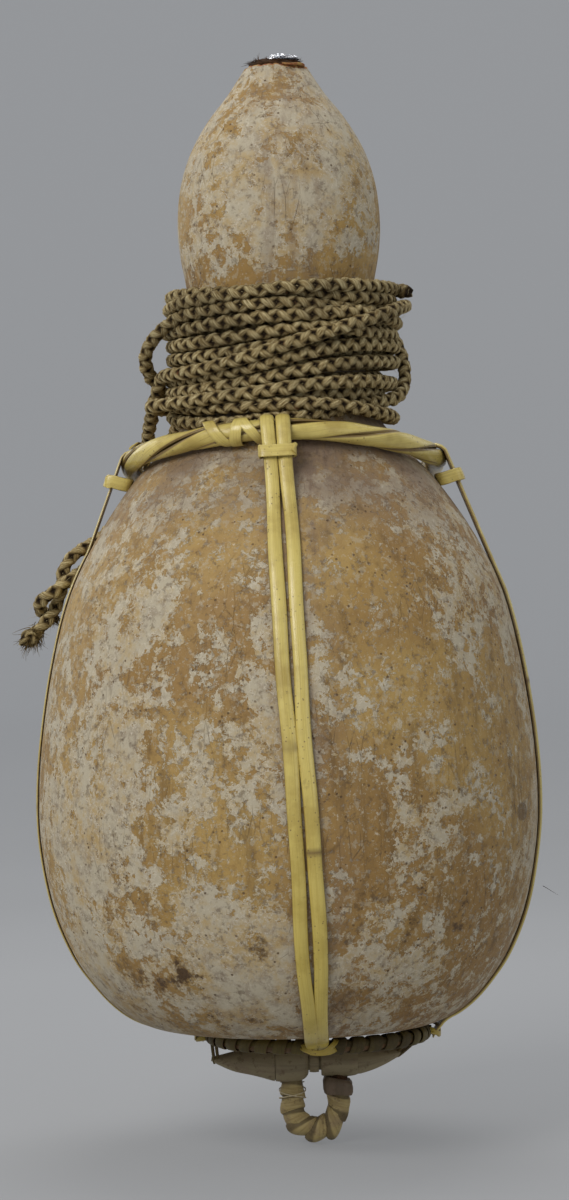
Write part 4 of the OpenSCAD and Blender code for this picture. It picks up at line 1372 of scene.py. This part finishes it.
class VESSEL_OT_loop(bpy.types.Operator):
    """Make the carrying loop: its draped sheaths, leaf strips, thread and boxy band"""
    bl_idname = "vessel.loop"
    bl_label = "Carrying loop"

    def execute(self, context):
        for k, (x, half, inward) in enumerate(((LEG_X[0], 9.1, 1), (LEG_X[1] + 1 * MM, 10.1, -1))):
            along = np.array([-1, -0.85, -0.5, 0, 0.5, 0.8, 0.94, 1.0]) * inward
            reach = np.array([[10.7, 10.9, 11.2, 11.3, 10.6, 9.2, 7.6, 6.3],
                              [7.4, 8.0, 8.5, 8.8, 8.6, 8.3, 8.0, 7.6]][k])
            fine = smooth_line(np.column_stack([along * half, reach]) * MM, 5)
            line = np.column_stack([x + fine[:, 0], 0 * fine[:, 0], BAR_Z + 0 * fine[:, 0]])
            lobe = swept(f"loop_drape_{k}", line, (0, 0, 1), LEAF_FOLDS, size=fine[:, 1], smooth=60)
            node = ("loop_sheath_left", "loop_sheath_right")[k]
            finish_piece(lobe, "carry_loop", finish("leaf"), [node])
        # leaf strips overlap like scales down the left leg, round the bend and up the right leg
        middle, radius = (LEG_X[0] + LEG_X[1]) / 2, (LEG_X[1] - LEG_X[0]) / 2
        bend = np.linspace(math.pi, TAU, 40)
        down = np.column_stack([np.full(8, LEG_X[0]), np.zeros(8), np.linspace(-20.5 * MM, BEND_Z, 8)])
        under = np.column_stack([middle + radius * np.cos(bend), 0 * bend, BEND_Z + radius * np.sin(bend)])
        rise = np.column_stack([np.full(8, LEG_X[1]), np.zeros(8), np.linspace(BEND_Z, -22 * MM, 8)])
        path = spaced(np.vstack([down, under[1:], rise[1:]]), 0.8 * MM)
        along = lengths_along(path)
        parts = []
        cuts = np.array([0.0, 9.5, 18.0, 26.0, 34.5, 43.5, 52.0, 60.5, 69.0]) * MM
        for k in range(len(cuts) - 1):
            a, b = cuts[k] - 2.6 * MM, min(cuts[k + 1] + 1.2 * MM, along[-1])
            inside = (along >= max(a, 0)) & (along <= b)
            line = path[inside]
            t = (along[inside] - max(a, 0)) / (b - max(a, 0))
            bent = 1.0 if 3 <= k <= 5 else 0.0
            scale_like = 5.5 + 1.6 * ease(t / 0.9)
            lump_like = 5.3 + 2.0 * np.sin(math.pi * np.clip(t, 0, 1) ** 0.85)
            size = (scale_like * (1 - bent) + lump_like * bent + 0.12 * np.sin(9 * t + k)) * MM
            size[-1] *= 0.93
            strip = swept(f"strip_{k}", line, (0, 1, 0), fluted(22, 4, 0.022, k), size=size, smooth=35)
            co = points_of(strip)
            middle_at = line.mean(0)
            go = unit(line[-1] - line[0])
            side = np.cross(go, (0, 1, 0))
            off = co - middle_at
            slant = (0.12, -0.10, 0.25, 0.62, 0.45, 0.70, 0.35, 0.2)[k] * (off @ side) + 0.25 * off[:, 1]
            move_points(strip, co + slant[:, None] * go)
            parts.append(strip)
        strips = join(parts, "loop_strips")
        finish_piece(strips, "carry_loop", finish("straw"), ["loop_wraps"])
        # the boxy band at the top of the right leg
        box = np.array([(math.copysign(abs(math.cos(a)) ** 0.34, math.cos(a)), math.copysign(
            abs(math.sin(a)) ** 0.34, math.sin(a))) for a in np.arange(28) / 28 * TAU])
        heights = np.linspace(-29.8, -21.0, 9) * MM
        line = np.column_stack([LEG_X[1] + 0.35 * MM * np.sin(heights * 600), 0 * heights, heights])
        size = np.array([7.3, 7.9, 8.1, 8.0, 8.2, 8.0, 8.1, 7.7, 6.9]) * MM
        band = swept("loop_band", line, (0, 1, 0), box, size=size, smooth=40)
        finish_piece(band, "carry_loop", finish("old_leaf"), ["loop_leg_band"])
        # the thread crosses itself on the left leg
        parts = []
        for way in (-1, 1):
            t = np.linspace(0, 1, 50)
            a = -math.pi / 2 + way * (t - 0.5) * 1.35 * TAU
            line = np.column_stack([
                LEG_X[0] + 7.35 * MM * np.cos(a), 7.35 * MM * np.sin(a), (-23.5 - 12.0 * t) * MM])
            parts.append(swept("thread", line, (0, 0, 1), oval(0.7 * MM, 0.7 * MM, 6)))
        thread = join(parts, "loop_threads")
        finish_piece(thread, "carry_loop", finish("thread"), ["loop_thread"])
        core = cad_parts["loop_core"]
        core.data.materials.clear()
        core.data.materials.append(finish("wad"))
        return {"FINISHED"}


# ---------------------------------------------------------------- stopper

class VESSEL_OT_stopper(bpy.types.Operator):
    """Make the fibre stopper and the crumpled foil on it"""
    bl_idname = "vessel.stopper"
    bl_label = "Stopper"

    def execute(self, context):
        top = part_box("stopper_plug")[1].z
        profile = np.array([
            (0, 510), (9, 510), (12.3, 514), (13.2, 524), (13.2, 536.6), (14.6, 537.0), (14.9, 538.2),
            (13.0, 539.6), (9, 540.6), (4, 541.0), (0, 541.2)]) * MM
        plug = turned("stopper_wad", smooth_line(profile, 3), 72)
        co = points_of(plug)
        az, r = np.arctan2(co[:, 1], co[:, 0]), np.hypot(co[:, 0], co[:, 1])
        lump = (np.sin(6 * az + co[:, 2] * 900) + np.sin(11 * az + 2) * 0.6
                + np.sin(r * 2100 + 3 * az) * 0.8) * 0.22 * MM
        above = ease((co[:, 2] - 0.5365) / 0.003)
        co[:, 2] += above * (lump + 0.9 * MM * np.exp(-(((co[:, 0] + 0.008) / 0.007) ** 2)) - 0.6 * MM)
        co[:, :2] *= (1 + above * lump * 30)[:, None]
        move_points(plug, co)
        shade(plug, 60)
        finish_piece(plug, "stopper", finish("wad"), ["stopper_plug"])
        rng = np.random.default_rng(7)
        roots, ways = [], []
        for _ in range(520):
            a, q = rng.uniform(0, TAU), 14.2 * MM * math.sqrt(rng.uniform(0.05, 1))
            height = top - 0.0008 + rng.uniform(-0.8, 0.4) * MM
            roots.append(np.array((q * math.cos(a), q * math.sin(a), height)))
            round_it = np.array((-math.sin(a), math.cos(a), 0)) * rng.choice([-1, 1])
            ways.append(unit(round_it + rng.normal(size=3) * (0.5, 0.5, 0.28)))
        longs = rng.uniform(0.002, 0.0062, len(roots))
        fibres = hairs("stopper_fibres", roots, ways, longs, 0.00028, rng, 0.7)
        finish_piece(fibres, "stopper", finish("wad"))
        # foil: a dented, sharply creased cap
        deselect()
        bpy.ops.mesh.primitive_ico_sphere_add(subdivisions=5, radius=1, location=(0, 0, 0))
        foil = named(context.object, "foil_cap")
        co = points_of(foil)
        n = co.copy()
        crease = np.zeros(len(n))
        for _ in range(26):
            w = rng.normal(size=3) * rng.uniform(2, 7)
            crease += np.abs(((n @ w + rng.uniform(0, 9)) % 2.0) - 1.0) / 26
        crease = (crease - crease.mean()) / crease.std()
        co = n * (1 + 0.085 * crease)[:, None]
        flat = np.column_stack([3.6 * MM + co[:, 0] * 8.6 * MM, -1.2 * MM + co[:, 1] * 8.0 * MM,
                                top + 0.6 * MM + np.where(co[:, 2] > 0, co[:, 2] * 2.9, co[:, 2] * 0.9) * MM])
        move_points(foil, flat)
        pick(foil)
        bpy.ops.object.transform_apply(location=True, rotation=True, scale=True)
        thin = foil.modifiers.new("Facets", "DECIMATE")
        thin.ratio = 0.35
        bpy.ops.object.modifier_apply(modifier=thin.name)
        shade(tidy_normals(foil), 16)
        finish_piece(foil, "stopper", finish("foil"), ["stopper_foil"])
        return {"FINISHED"}


# ---------------------------------------------------------------- panel and run

STEPS = (VESSEL_OT_stage, VESSEL_OT_rope, VESSEL_OT_gourd, VESSEL_OT_collar, VESSEL_OT_canes, VESSEL_OT_ties,
         VESSEL_OT_hoop, VESSEL_OT_strap, VESSEL_OT_loop, VESSEL_OT_stopper)


class VESSEL_PT_panel(bpy.types.Panel):
    """Lists the pieces of the vessel with their sizes and colours"""
    bl_label = "Vessel"
    bl_idname = "VESSEL_PT_panel"
    bl_space_type = "VIEW_3D"
    bl_region_type = "UI"
    bl_category = "Vessel"

    def draw(self, context):
        for step in STEPS:
            self.layout.operator(step.bl_idname)
        for group in (context.scene.vessel_sizes, context.scene.vessel_colours):
            box = self.layout.box()
            for key in group.__annotations__:
                box.prop(group, key)


CLASSES = (VesselSizes, VesselColours, *STEPS, VESSEL_PT_panel)


def register():
    for cls in CLASSES:
        bpy.utils.register_class(cls)
    bpy.types.Scene.vessel_sizes = bpy.props.PointerProperty(type=VesselSizes)
    bpy.types.Scene.vessel_colours = bpy.props.PointerProperty(type=VesselColours)


def unregister():
    del bpy.types.Scene.vessel_colours
    del bpy.types.Scene.vessel_sizes
    for cls in reversed(CLASSES):
        bpy.utils.unregister_class(cls)


def main():
    register()
    for step in STEPS:
        section, name = step.bl_idname.split(".")
        getattr(getattr(bpy.ops, section), name)()


if __name__ == "__main__":
    main()
